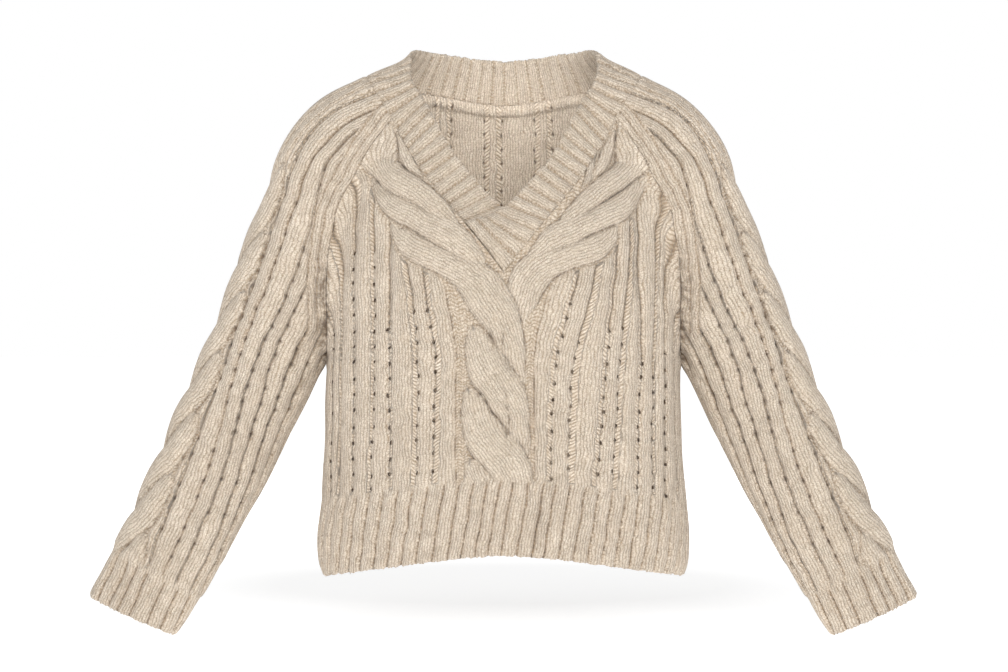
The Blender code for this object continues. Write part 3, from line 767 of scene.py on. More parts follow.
# cable strands of the front: distance round the body, height, half width and lift, in millimetres.
# A strand is laid over those above it in the list wherever it is the higher one.
FRONT_STRANDS = {
    "right_tuck": (
        (118, -64, 2, 1.5),
        (117, -78, 5, 3),
        (112, -92, 6.5, 3.5),
        (106, -103, 5.5, 3),
        (100, -110, 2, 1.5),
    ),
    "left_tuck": (
        (-115, -68, 2, 1.5),
        (-111, -82, 6, 3),
        (-105, -95, 7, 3.5),
        (-97, -105, 6, 3),
        (-89, -112, 2, 1.5),
    ),
    "right_low": (
        (121, -167, 3, 1.5),
        (115, -177, 9, 3.2),
        (103, -186, 13, 4.2),
        (89, -191, 14, 4.6),
        (74, -195, 13.5, 4.8),
        (60, -200, 14, 5),
        (46, -206, 17, 5.2),
        (34, -214, 20, 5),
        (25, -226, 20, 4.6),
        (20, -240, 17, 3.8),
        (18, -254, 12, 2.6),
        (18, -264, 6, 1.2),
    ),
    "right_middle": (
        (152, -112, 3, 1.5),
        (150, -122, 8, 3.4),
        (142, -133, 12, 4.6),
        (130, -143, 14, 5.2),
        (117, -150, 14.5, 5.5),
        (103, -156, 13.5, 5.6),
        (88, -162, 13.5, 5.6),
        (74, -169, 14, 5.4),
        (60, -175, 13.5, 5.2),
        (48, -182, 12, 4.8),
        (38, -190, 8, 3.4),
        (30, -197, 4, 2),
    ),
    "right_high": (
        (123, -57, 3, 2),
        (129, -72, 8, 4.2),
        (136, -88, 12.5, 5.4),
        (138, -101, 14.5, 6),
        (129, -112, 13.5, 6.2),
        (114, -121, 12.5, 6.2),
        (101, -130, 11.5, 5.8),
        (89, -139, 10, 5),
        (76, -149, 8.5, 4.4),
        (64, -159, 4, 2.5),
    ),
    "left_low": (
        (-119, -166, 3, 1.5),
        (-110, -177, 10, 3.4),
        (-98, -185, 14.5, 4.4),
        (-84, -192, 15, 5),
        (-68, -200, 14, 5.4),
        (-52, -208, 15, 5.8),
        (-36, -218, 19, 6.2),
        (-23, -231, 22, 6.4),
        (-12, -247, 22.5, 6.4),
        (-2, -264, 20, 6),
        (5, -281, 16, 5.2),
        (9, -297, 13, 4.4),
        (12, -312, 11, 3.2),
        (16, -326, 7, 1.5),
    ),
    "left_middle": (
        (-146, -117, 3, 1.5),
        (-138, -126, 9, 3.8),
        (-126, -138, 12.5, 5),
        (-112, -147, 13.5, 5.6),
        (-97, -154, 14, 6),
        (-82, -162, 14.5, 6.2),
        (-66, -170, 16, 6.4),
        (-53, -178, 16, 6),
        (-41, -187, 13.5, 5),
        (-31, -196, 9, 3.6),
        (-23, -204, 4, 2),
    ),
    "left_high": (
        (-119, -58, 3, 2),
        (-124, -73, 8, 4.2),
        (-131, -88, 14, 5.6),
        (-131, -102, 17, 6.4),
        (-119, -114, 15.5, 6.8),
        (-103, -123, 13.5, 6.8),
        (-88, -132, 12.5, 6.4),
        (-75, -142, 11, 5.6),
        (-62, -152, 8.5, 4.6),
        (-51, -162, 4, 2.5),
    ),
    "rope_second": (
        (-30, -277, 7, 3),
        (-28, -284, 12, 4.6),
        (-24.5, -296, 16, 5.4),
        (-19, -309, 20, 5.8),
        (-12, -322, 22, 6.2),
        (-4, -334, 22.5, 6.4),
        (4, -347, 21.5, 6.4),
        (10, -361, 17, 5.8),
        (13, -376, 14, 5),
        (15, -391, 12.5, 3.8),
        (16, -404, 10, 2),
    ),
    "rope_third": (
        (-35, -343, 7, 3),
        (-33, -350, 11.5, 4.6),
        (-29.5, -361, 15.5, 5.4),
        (-24.5, -375, 19, 5.8),
        (-17, -389, 22.5, 6.2),
        (-7, -402, 24, 6.4),
        (3, -414, 23, 6.4),
        (10, -427, 20, 6),
        (14, -441, 17, 5),
        (16, -456, 14, 3.6),
        (16, -470, 12, 2.4),
    ),
    "rope_fourth": (
        (-33, -417, 7, 3),
        (-30, -424, 12, 4.6),
        (-26, -434, 15, 5.2),
        (-22, -446, 15, 4.8),
        (-20, -460, 14, 3.6),
        (-19, -474, 13, 2.4),
    ),
}

# furrows between stitches of the strands and creases of the cloth, in millimetres: distance round the body,
# height, half width and depth
FRONT_FURROWS = {
    "rope_parting": (
        (-11, -318, 1.2, 0.2),
        (-3, -330, 1.8, 1.2),
        (3, -342, 2.2, 1.8),
        (4.5, -358, 2.4, 2.4),
        (4.5, -376, 2.4, 2.6),
        (3, -392, 2, 1.4),
    ),
    "rope_bend_above_second": (
        (-35, -269, 1.2, 0.2),
        (-27, -269, 1.8, 1),
        (-18, -274, 2, 1.5),
        (-12, -285, 1.8, 1.3),
        (-6, -298, 1.6, 0.8),
        (1, -308, 1.6, 1.1),
        (8, -318, 1.4, 0.8),
        (13, -325, 1, 0.2),
    ),
    "rope_bend_above_third": (
        (-37, -335, 1.2, 0.2),
        (-31, -336, 1.8, 1.1),
        (-24, -342, 2, 1.8),
        (-17, -351, 2, 1.8),
        (-13, -360, 1.6, 1),
        (-11, -369, 1.2, 0.2),
    ),
    "rope_bend_above_fourth": (
        (-37, -411, 1.2, 0.2),
        (-31, -410, 1.6, 0.9),
        (-23, -414, 1.9, 1.4),
        (-16, -422, 1.8, 1.2),
        (-10, -433, 1.2, 0.2),
    ),
    "tongue": (
        (-3, -268, 1.2, 0.2),
        (0, -276, 1.6, 1.2),
        (-1, -288, 1.8, 1.8),
        (-3, -300, 1.8, 1.2),
    ),
    "drawn_in": (
        (37, -436, 4, 0.2),
        (37, -452, 5, 0.8),
        (36, -470, 6, 1.2),
        (36, -500, 6, 1.5),
        (36, -525, 7, 1.8),
        (36, -545, 8, 2.0),
    ),
}

# soft creases of the back, in the same columns
BACK_FURROWS = {
    "from_left_underarm": (
        (176, -318, 5, 0.2), (158, -330, 6, 1.3), (138, -345, 7, 1.5),
        (116, -364, 7, 0.8), (98, -380, 5, 0.2),
    ),
    "from_right_underarm": (
        (-180, -306, 5, 0.2), (-160, -322, 6, 1.5), (-138, -342, 7, 1.4),
        (-118, -358, 6, 0.2),
    ),
    "small_of_back": (
        (-70, -418, 5, 0.2), (-35, -426, 7, 1.0), (5, -430, 8, 1.2),
        (48, -425, 7, 0.9), (84, -414, 5, 0.2),
    ),
}

# grooves of the hem rib on the front, in millimetres round the body, at the hem's edge
FRONT_HEM_GROOVES = (
    -262, -246, -229, -212, -195, -178.6, -162, -144.5, -127.3, -110.5, -94, -76.5, -60, -45, -30.3, -17,
    -3.5, 13.5, 29.5, 41.5, 57.1, 73.6, 89, 104.5, 120, 137, 154, 171, 188, 205, 222, 239, 256,
)
BACK_HEM_PERIOD = 16.2
HEM_LEAN = 0.17

# pairs of lace columns on the back, in millimetres: middle of the pair and half distance between its columns
BACK_PAIR_PERIOD = 57.5
BACK_PAIR_MIDDLE = -12.0
BACK_PAIR_HALF = 10.0
BACK_HOLE_PITCH = 0.0157


def columns_at(table, height):
    """Place of every column of a table in millimetres at the given heights, in metres."""
    return np.stack([smooth(table, 0, k, height / MM) for k in range(1, len(table[0]))], axis=-1) * MM


def hem_ribs(face, across, course):
    """The hem's ribs: their grooves lean towards the wearer's right going down."""
    if face == FRONT:
        grooves = np.array(FRONT_HEM_GROOVES) * MM
    else:
        grooves = np.arange(-17, 18) * BACK_HEM_PERIOD * MM
    places = grooves + HEM_LEAN * (course - HEM_SIDE)[..., None] * (1 if face == FRONT else 0.4)
    return ribs_between(across, course, places, np.zeros((len(grooves), 2)), HEM_GROOVE_DEPTH)


def blend_knits(low, high, share):
    """One knit that turns from `low` into `high` as share goes from 0 to 1."""
    high.height = low.height + (high.height - low.height) * share
    high.purl = low.purl + (high.purl - low.purl) * share
    high.lattice = high.lattice * (share > 0.5)
    high.crease = high.crease * share
    high.layer = np.where(share < 0.5, len(high.layers), high.layer)
    high.layers.append(low.layers[0])
    return high


def front_knit(across, height, course):
    """The front: lace columns between ribs, with the strands of the cables laid over them."""
    places = columns_at(FRONT_COLUMNS, height)
    tops = np.array([-1000 if row[3] is None else row[3] for row in FRONT_LACE]) * MM
    open_lace = ease(-0.004, 0.004, tops - height[..., None])
    depth = GROOVE_DEPTH * (1 - (1 - LACE_GROOVE_SHARE) * open_lace)
    knit = ribs_between(across, course, places, [row[1:3] for row in FRONT_LACE], depth)
    left, right = (index for index, row in enumerate(FRONT_LACE) if row[0] == "panel")
    panel = (across > places[..., left]) & (across < places[..., right])
    knit.height[panel], knit.purl[panel], knit.lattice[panel] = GROUND, 1, 0
    for rows in FRONT_STRANDS.values():
        lay_strand(knit, rows, across, height)
    return knit


def back_columns():
    """Places of the lace columns on the back, in metres round the body."""
    middles = BACK_PAIR_MIDDLE + BACK_PAIR_PERIOD * np.arange(-5, 6)
    return np.stack([middles - BACK_PAIR_HALF, middles + BACK_PAIR_HALF], axis=1).ravel() * MM


def back_knit(across, course):
    """The back: pairs of lace columns between plain ribs, all the way up."""
    columns = back_columns()
    places = np.broadcast_to(columns, (*across.shape, columns.size))
    depth = LACE_GROOVE_SHARE * GROOVE_DEPTH
    return ribs_between(across, course, places, [(0.0, 6.5), (6.5, 0.0)] * (columns.size // 2), depth)


def holes_up(columns_table, top_heights, pitch, lowest, seed):
    """Places of the lace holes of each column of a table, from its highest hole down."""
    random = draw(seed)
    holes = []
    for number, top in enumerate(top_heights):
        if top is None:
            continue
        height = np.arange(top * MM, lowest, -pitch)
        height = height + random.normal(0, 0.0007, len(height))
        across = smooth(columns_table, 0, number + 1, height / MM) * MM
        holes += list(zip(across, height))
    return holes


# ---- sleeves, in the arm's own measures --------------------------------------------------------------------

# lines of lace holes and of plain grooves on a sleeve, in millimetres: length along the arm, then distance
# round the sleeve from its top line, positive towards the front
SLEEVE_COLUMNS = (
    # length, the back from the underarm up, edges of the cable's panel, the front down to the underarm
    (0, -190, -170, -152, -128, -105, -88, -64, -46, -24, -14, 40, 53, 74, 89, 110, 126, 148, 165, 190),
    (70, -190, -170, -152, -128, -105, -88, -64, -45, -24, -14, 40, 53, 73, 88, 110, 126, 148, 165, 190),
    (105, -190, -170, -152, -128, -105, -88, -64, -45, -23, -14, 40, 49, 73, 88, 110, 126, 148, 165, 190),
    (150, -190, -170, -152, -128, -105, -88, -64, -44, -25, -15, 41, 53, 70, 89, 110, 126, 148, 165, 190),
    (190, -190, -170, -150, -126, -103, -86, -64, -40, -23, -15, 41, 49, 66, 91, 109, 126, 148, 165, 190),
    (240, -190, -170, -150, -126, -101, -84, -64, -39, -22, -15, 41, 47, 64, 90, 108, 126, 148, 165, 190),
    (285, -190, -168, -148, -124, -97, -80, -62, -37, -21, -15, 41, 47, 63, 88, 103, 125, 142, 163, 190),
    (340, -188, -160, -138, -117, -96, -77, -56, -35, -21, -15, 41, 47, 61, 82, 98, 119, 138, 158, 188),
    (390, -184, -158, -138, -118, -98, -79, -57, -37, -23, -15, 41, 50, 65, 83, 102, 120, 138, 156, 184),
    (440, -180, -158, -140, -120, -100, -80, -62, -44, -24, -15, 41, 50, 71, 88, 105, 122, 138, 154, 180),
    (500, -175, -152, -137, -121, -103, -86, -67, -49, -26, -15, 41, 52, 75, 93, 111, 126, 140, 152, 175),
    (550, -170, -150, -136, -122, -105, -88, -69, -51, -27, -15, 41, 53, 76, 93, 114, 127, 140, 150, 170),
    (605, -165, -146, -132, -117, -103, -85, -66, -49, -26, -14, 40, 54, 73, 90, 108, 122, 136, 147, 165),
    (661, -160, -142, -128, -114, -100, -83, -64, -48, -25, -12, 38, 53, 72, 88, 104, 118, 132, 143, 160),
)

# what stands beside each of those lines, in millimetres: lattice on its back side and on its front side,
# length along the arm at which its holes begin, or None
SLEEVE_LACE = (
    ("edge", 0.0, 0.0, None),
    ("b7", 0.0, 0.0, None),
    ("b6", 0.0, 4.0, 300),
    ("b5", 0.0, 6.0, 272),
    ("b4", 0.0, 4.0, 236),
    ("b3", 0.0, 6.0, 137),
    ("b2", 0.0, 0.0, None),
    ("b1_plain", 0.0, 0.0, None),
    ("b1", 0.0, 7.0, 53),
    ("panel", 0.0, 0.0, None),
    ("panel", 0.0, 0.0, None),
    ("c1", 7.0, 0.0, 53),
    ("c2", 0.0, 0.0, 180),
    ("c3", 6.0, 0.0, 137),
    ("c4", 4.0, 0.0, 236),
    ("c5", 6.0, 0.0, 272),
    ("c6", 4.0, 0.0, 300),
    ("c7", 0.0, 0.0, None),
    ("edge", 0.0, 0.0, None),
)
SLEEVE_HOLE_PITCH = 0.0175
LOWER_HOLES_FROM = 0.400
LOWER_HOLES_SHARE = 0.5

# one strand of the sleeve's cable, in millimetres: distance round the sleeve, length along the arm after the
# strand's start, half width and lift
SLEEVE_STRAND = (
    (37, -4, 6.5, 3.6),
    (36, 7, 10.5, 5.8),
    (34, 20, 12.5, 6.6),
    (30, 35, 14, 6.8),
    (24, 50, 15, 6.6),
    (15, 65, 15.5, 6.0),
    (5, 80, 14, 5.0),
    (-4, 95, 12, 4.0),
    (-10, 109, 10, 3.0),
    (-12, 120, 7, 1.8),
    (-11, 130, 4, 1.0),
)

# soft creases of a sleeve near the notch under the arm and at the elbow, in millimetres: distance round the
# sleeve, length along the arm, half width and depth
SLEEVE_CREASES = {
    "front_high": (
        (150, 255, 5, 0.2), (141, 280, 5.5, 2.0), (130, 308, 5.5, 2.5),
        (119, 338, 5, 1.5), (111, 366, 4, 0.3),
    ),
    "front_low": (
        (166, 296, 5, 0.3), (155, 324, 5.5, 2.1), (143, 352, 5.5, 2.2),
        (131, 384, 5, 1.2), (122, 415, 4, 0.2),
    ),
    "front_elbow": (
        (84, 402, 4, 0.2), (96, 420, 5, 1.0), (110, 434, 5.5, 1.3),
        (126, 444, 5, 0.8), (140, 450, 4, 0.2),
    ),
    "back_high": (
        (-146, 262, 5, 0.2), (-138, 288, 5.5, 2.0), (-126, 318, 5.5, 2.3),
        (-114, 350, 5, 1.3), (-107, 376, 4, 0.2),
    ),
    "back_low": (
        (-168, 305, 5, 0.3), (-157, 333, 5.5, 2.0), (-144, 362, 5.5, 1.9),
        (-133, 390, 5, 1.0), (-125, 412, 4, 0.2),
    ),
    "back_elbow": (
        (-90, 396, 4, 0.2), (-102, 415, 5, 1.1), (-118, 431, 5.5, 1.3),
        (-133, 440, 5, 0.7), (-146, 444, 4, 0.2),
    ),
}
SLEEVE_GROOVE_DEPTH = 0.0030
SLEEVE_LATTICE_SHARE = 0.35
SLEEVE_LIFT = 1.2
SEAM_RIB_SHARE = 0.6
SEAM_RIB_WANDER = 0.0011
# widths of the painted shade in the fold under the arm, on the sleeve and on the body
NOTCH_SHADE_WIDTH = {"sleeve": 0.0130, "body": 0.0035}
TOP_RIBS = (-15.0, 4.0, 22.5, 41.0)
STRAND_STARTS = (159, 230, 301, 372, 443, 514, 585)
CABLE_FROM = 0.157

SEAM_RIB_GROOVES = (10.0, 20.0)
SEAM_RIBS_WITHIN = 0.022
CUFF_GROOVES = (-142, -126, -110, -94, -77, -61, -45, -29, -13, 2, 17, 32, 43, 57, 78, 94, 111, 127, 143)


def distance_to(points, line):
    """Distance from each point to a polyline."""
    start, side = line[:-1], np.diff(line, axis=0)
    best = np.full(len(points), np.inf)
    for place, way in zip(start, side):
        away = points - place
        share = np.clip(away @ way / max(way @ way, 1e-12), 0, 1)
        best = np.minimum(best, np.linalg.norm(away - share[:, None] * way, axis=1))
    return best


def notch_shade(off_seam, above_notch, width):
    """Painted shade of the fold where sleeve and body meet, above the notch under the arm."""
    return np.exp(-((off_seam / width) ** 2)) * ease(0.15, 0.07, above_notch)


def sleeve_knit(arc, length, off_seam, above_notch, uneven):
    """A sleeve: a cable down its top line between lace columns, and ribs that follow the raglan seams."""
    places = columns_at(SLEEVE_COLUMNS, length)
    starts = np.array([1000 if row[3] is None else row[3] for row in SLEEVE_LACE]) * MM
    open_lace = ease(-0.004, 0.004, length[..., None] - starts)
    depth = SLEEVE_GROOVE_DEPTH * (1 - 0.25 * open_lace)
    lattice = SLEEVE_LATTICE_SHARE * np.array([row[1:3] for row in SLEEVE_LACE])
    knit = ribs_between(arc, -length, places, lattice, depth)
    left, right = (index for index, row in enumerate(SLEEVE_LACE) if row[0] == "panel")
    panel = (arc > places[..., left]) & (arc < places[..., right])
    fade = ease(CABLE_FROM - 0.012, CABLE_FROM + 0.020, length)[panel]
    tops = np.broadcast_to(np.array(TOP_RIBS) * MM, (*arc.shape, 4))
    above = ribs_between(arc, -length, tops, np.zeros((4, 2)))
    knit.height[panel] = above.height[panel] + (GROUND - above.height[panel]) * fade
    knit.purl[panel], knit.lattice[panel] = np.maximum(above.purl[panel], fade), 0
    knit.layer[panel] = len(knit.layers)
    knit.layers.append(above.layers[0])
    for start in STRAND_STARTS:
        rows = [(across, start + along, half, lift) for across, along, half, lift in SLEEVE_STRAND]
        lay_strand(knit, rows, arc, length, SLEEVE_LIFT)
    grooves = np.array((-0.5, *SEAM_RIB_GROOVES, 31.0)) * MM
    depth = GROOVE_DEPTH * np.array((0.4, 1, 1, 1))
    off_rib = np.maximum(off_seam + SEAM_RIB_WANDER * uneven, 0)
    grooves = np.broadcast_to(grooves, (*arc.shape, 4))
    beside = ribs_between(off_rib, -length, grooves, np.zeros((4, 2)), depth)
    beside.height = GROUND + (beside.height - GROUND) * SEAM_RIB_SHARE
    share = (off_seam < SEAM_RIBS_WITHIN) * ease(0, 0.07, above_notch)
    near = share > 0.5
    for field in ("height", "purl"):
        change = getattr(beside, field) - getattr(knit, field)
        setattr(knit, field, getattr(knit, field) + share * change)
    knit.lattice[near] = 0
    knit.layer[near] = len(knit.layers)
    knit.layers.append(beside.layers[0])
    for rows in SLEEVE_CREASES.values():
        draw_furrow(knit, rows, arc, length)
    # painted shade in the fold under the arm
    knit.crease = np.maximum(knit.crease, notch_shade(off_seam, above_notch, NOTCH_SHADE_WIDTH["sleeve"]))
    return knit


def cuff_knit(arc, length):
    """The cuff's ribs."""
    places = np.broadcast_to(np.array(CUFF_GROOVES) * MM, (*arc.shape, len(CUFF_GROOVES)))
    return ribs_between(arc, -length, places, np.zeros((len(CUFF_GROOVES), 2)), HEM_GROOVE_DEPTH)


# ---- shells ----------------------------------------------------------------------------------------------

INSIDE = 0.5
INSIDE_NECK = -0.35
BACK_PINCH = 0.8
SLEEVE_PINCH = 0.45
FREE_EDGE_RADIUS = 0.004
SEAM_RADIUS = 0.0022
FREE_EDGE_LEAST = 0.15
SEAM_LEAST = 0.72
JOIN_INSET_SHARE = 0.2
PINCH_THINNING = 0.85
HOLE_THINNING = 0.25
HOLE_REACH = 0.003
HOLE_ACROSS = 0.0016
HOLE_ALONG = 0.0023
KNOBBLE = 0.0005
RING = ((-1, -1), (-1, 0), (-1, 1), (0, 1), (1, 1), (1, 0), (1, -1), (0, -1))
SHARP = math.radians(62)
BAKE_SIDE = 0.49
BAKE_TOP = 0.9



def rounded(distance, radius, least):
    """Share of the wall's thickness that is left at a distance from an edge."""
    t = np.clip(distance / radius, 0, 1)
    return least + (1 - least) * np.sqrt(1 - (1 - t) ** 2)


def nearest_distance(points, targets):
    """Distance from each point to the nearest of the targets."""
    if not len(targets):
        return np.full(len(points), 1.0)
    tree = kdtree.KDTree(len(targets))
    for number, place in enumerate(targets):
        tree.insert(place, number)
    tree.balance()
    return np.array([tree.find(point)[2] for point in points])


def triangles(quads):
    """Faces as rows of four corners, where a corner that repeats the one before it is set to -1."""
    again = quads == np.roll(quads, 1, axis=1)
    return np.where(again, -1, quads)


def free_sides(faces):
    """Directed sides that only one face uses, as pairs of corners."""
    sides = []
    for corner in range(4):
        start = faces[:, corner]
        end = faces[:, (corner + 1) % 4]
        end = np.where(end < 0, faces[:, (corner + 2) % 4], end)
        sides.append(np.stack([start, end], axis=1)[start >= 0])
    sides = np.concatenate(sides)
    count = sides.max() + 1
    forward, back = sides @ [count, 1], sides @ [1, count]
    return sides[~np.isin(forward, back)]


def punch(points, spots, pinch):
    """Cuts lace holes, or pinches them. Returns the cells that are left and how hollow each point is."""
    left = np.ones((points.shape[0] - 1, points.shape[1] - 1), bool)
    hollow = np.zeros(points.shape[:2])
    random = draw(2)
    for row, column in spots:
        hollow[row, column] = 1
        if pinch:
            for down, right in RING[1::2]:
                hollow[row + down, column + right] = max(hollow[row + down, column + right], pinch)
            continue
        sideways = unit(points[row, column + 1] - points[row, column - 1])
        upwards = unit(points[row + 1, column] - points[row - 1, column])
        for down, right in RING:
            turn = math.atan2(down, right)
            way = HOLE_ACROSS * math.cos(turn) * sideways + HOLE_ALONG * math.sin(turn) * upwards
            way *= random.uniform(0.7, 1.2)
            points[row + down, column + right] = points[row, column] + way
            hollow[row + down, column + right] = 1
        left[row - 1 : row + 1, column - 1 : column + 1] = False
    return left, hollow


def hole_spots(across, along, holes, allowed):
    """Rows and columns of the grid nearest to each hole, where a hole may be."""
    spots = []
    for place in holes:
        gap = (across - place[0]) ** 2 + (along - place[1]) ** 2
        row, column = np.unravel_index(gap.argmin(), gap.shape)
        clear = all(abs(row - r) > 2 or abs(column - c) > 2 for r, c in spots[-40:])
        if gap[row, column] < HOLE_REACH**2 and allowed[row, column] and clear:
            spots.append((row, column))
    return spots


def sink_holes(height, points, spots):
    """Pits round the lace holes."""
    for row, column in spots:
        rows, columns = slice(row - 4, row + 5), slice(column - 5, column + 6)
        away = np.linalg.norm(points[rows, columns] - points[row, column], axis=-1)
        height[rows, columns] -= PIT_DEPTH * np.exp(-((away / PIT_RADIUS) ** 2))


def make_piece(
    name, points, outward, knit, numbers, wool,
    spots=(), free=None, join=None, gap=None, pinch=0.0, inside=INSIDE,
):
    """A closed shell of knitting on a grid of points. `numbers` has the same number where points are one.

    Its lace holes are cut through, or pinched with painted shade round their middle as dark as `pinch` says.
    `inside` is the share of the relief that the wall's inner side follows, negative where the inner side
    stands out too.
    """
    rows, columns = numbers.shape
    points = points.copy()
    left, hollow = punch(points, spots, pinch)
    sink_holes(knit.height, points, spots)
    quads = np.stack([numbers[:-1, :-1], numbers[:-1, 1:], numbers[1:, 1:], numbers[1:, :-1]], axis=-1)
    flat, ways = points.reshape(-1, 3), outward.reshape(-1, 3)
    if gap is not None:
        left[:, gap] = False
    whole = triangles(quads.reshape(-1, 4))
    real = (whole >= 0).sum(1) > 2
    if gap is not None:
        real &= np.tile(np.arange(columns - 1) != gap, rows - 1)
    whole = whole[real]
    edge = np.unique(free_sides(whole))
    is_free = np.isin(edge, numbers[free]) if free is not None else np.zeros(len(edge), bool)
    is_join = np.isin(edge, numbers[join]) & ~is_free if join is not None else np.zeros(len(edge), bool)
    kept = left.ravel() & real
    cell = np.nonzero(kept)[0]
    faces = quads.reshape(-1, 4)[cell]
    corner = np.stack(np.unravel_index(cell, left.shape), axis=1)
    corner = corner[:, None] + np.array([(0, 0), (0, 1), (1, 1), (1, 0)])
    first = flat[faces[:, 0]], flat[faces[:, 2]], flat[faces[:, 1]], flat[faces[:, 3]]
    facing = np.cross(first[1] - first[0], first[3] - first[2])
    if (facing * ways[faces[:, 0]]).sum() < 0:
        faces, corner = faces[:, ::-1], corner[:, ::-1]

    # the wall gets thinner towards its edges, and its seams sink in
    thick = rounded(nearest_distance(flat, flat[edge[is_free]]), FREE_EDGE_RADIUS, FREE_EDGE_LEAST)
    thick *= rounded(nearest_distance(flat, flat[edge[~is_free & ~is_join]]), SEAM_RADIUS, SEAM_LEAST)
    thick *= 1 - (PINCH_THINNING if pinch else HOLE_THINNING) * hollow.ravel()
    height = knit.height.ravel()
    middle = (height * (1 + inside) - WALL) / 2
    half = (height * (1 - inside) + WALL) / 2 * thick
    centre = np.zeros_like(flat)
    count = np.zeros(len(flat))
    for k in range(4):
        np.add.at(centre, faces[:, k], flat[faces].mean(1))
        np.add.at(count, faces[:, k], 1)
    centre /= np.maximum(count, 1)[:, None]
    base = flat.copy()
    inset = np.where(is_join, JOIN_INSET_SHARE, 1.0)[:, None] * SEAM_GAP / 2
    jitter = draw(3).normal(0, KNOBBLE, len(edge))[:, None] * is_free[:, None]
    base[edge] += unit(centre[edge] - flat[edge]) * (inset * ~is_free[:, None] + jitter)
    outer = base + ways * (middle + half)[:, None]
    inner = base + ways * (middle - half - knit.lining.ravel())[:, None]

    ring = triangles(faces)
    used = np.unique(faces)
    place = np.zeros(len(flat), int)
    place[used] = np.arange(len(used))
    total = len(used)
    sides = free_sides(ring)
    rims = np.stack([sides[:, 1], sides[:, 0], sides[:, 0] + len(flat), sides[:, 1] + len(flat)], axis=1)

    def numbered(row):
        return [int(place[c]) if c < len(flat) else int(place[c - len(flat)]) + total for c in row if c >= 0]

    under = np.where(ring >= 0, ring + len(flat), -1)[:, ::-1]
    polygons = [numbered(row) for row in ring.tolist() + under.tolist() + rims.tolist()]
    mesh = bpy.data.meshes.new(name)
    mesh.from_pydata(np.concatenate([outer[used], inner[used]]).tolist(), [], polygons)

    # stitch numbers of each corner, from the layer of knitting that is highest at the face
    stitches = np.stack([layer[0] for layer in knit.layers]).reshape(len(knit.layers), -1)
    courses = np.stack([layer[1] for layer in knit.layers]).reshape(len(knit.layers), -1)
    grid_corner = corner[..., 0] * columns + corner[..., 1]
    top = height[grid_corner].argmax(1)
    layer = knit.layer.ravel()[grid_corner[np.arange(len(top)), top]]
    knit_uv = np.stack([stitches[layer[:, None], grid_corner], courses[layer[:, None], grid_corner]], axis=2)
    share = corner[..., ::-1] / [columns - 1, rows - 1]
    bake_uv = share * [BAKE_SIDE, BAKE_TOP]
    keep = ring >= 0
    side = math.ceil(math.sqrt(len(rims) / (1 - BAKE_TOP)))
    spot = np.stack(np.unravel_index(np.arange(len(rims)), (side, side)), axis=1)
    spot = spot[:, ::-1] / side * [1, 1 - BAKE_TOP] + [0, BAKE_TOP]
    unit_square = np.array([(0.1, 0.1), (0.9, 0.1), (0.9, 0.9), (0.1, 0.9)]) / side * [1, 1 - BAKE_TOP]
    rim_bake = spot[:, None] + unit_square
    rim_knit = np.tile(np.array([(0.2, 0.2), (0.8, 0.2), (0.8, 0.8), (0.2, 0.8)]) * 2, (len(rims), 1, 1))
    for title, outside_uv, rim_uv, moved in (
        ("knit", knit_uv, rim_knit, 0.0),
        ("OFBake", bake_uv, rim_bake, 1 - BAKE_SIDE),
    ):
        inside_uv = (outside_uv + [moved, 0])[:, ::-1]
        values = [outside_uv[keep], inside_uv[keep[:, ::-1]], rim_uv.reshape(-1, 2)]
        mesh.uv_layers.new(name=title).data.foreach_set("uv", np.concatenate(values).ravel())
    # masks for the material: purl and lattice stitches, and painted shade in low places, round lace holes and
    # along creases
    extra = {
        "purl": knit.purl.ravel(),
        "lattice": knit.lattice.ravel(),
        "sunk": np.clip((0.0014 - knit.relief.ravel()) / 0.0045, 0, 1),
        "lace": hollow.ravel() * (1.0 if pinch else 0.1),
        "crease": knit.crease.ravel(),
    }
    for title, value in extra.items():
        attribute = mesh.attributes.new(title, "FLOAT", "POINT")
        attribute.data.foreach_set("value", np.tile(value[used], 2))
    # painted shade on the walls of the cut lace holes
    hole_wall_shade = np.zeros(len(polygons), np.float32)
    hole_wall_shade[-len(rims) :] = hollow.ravel()[sides[:, 0]]
    mesh.attributes.new("hole_wall_shade", "FLOAT", "FACE").data.foreach_set("value", hole_wall_shade)
    mesh.materials.append(wool)
    mesh.shade_smooth()
    mesh.set_sharp_from_angle(angle=SHARP)
    piece = bpy.data.objects.new(name, mesh)
    bpy.context.collection.objects.link(piece)
    return piece


def flat_cut(points, gap=None, measure=np.max):
    """Width, length and area of a grid's cloth laid flat, without its relief. Lace holes count as cloth."""
    across, along = np.diff(points, axis=1), np.diff(points, axis=0)
    cells = np.linalg.norm(np.cross(across[:-1], along[:, :-1]), axis=2)
    widths, lengths = np.linalg.norm(across, axis=2), np.linalg.norm(along, axis=2)
    if gap is not None:
        cells, widths = np.delete(cells, gap, axis=1), np.delete(widths, gap, axis=1)
    return float(measure(widths.sum(1))), float(measure(lengths.sum(0))), float(cells.sum())


# ---- materials -------------------------------------------------------------------------------------------


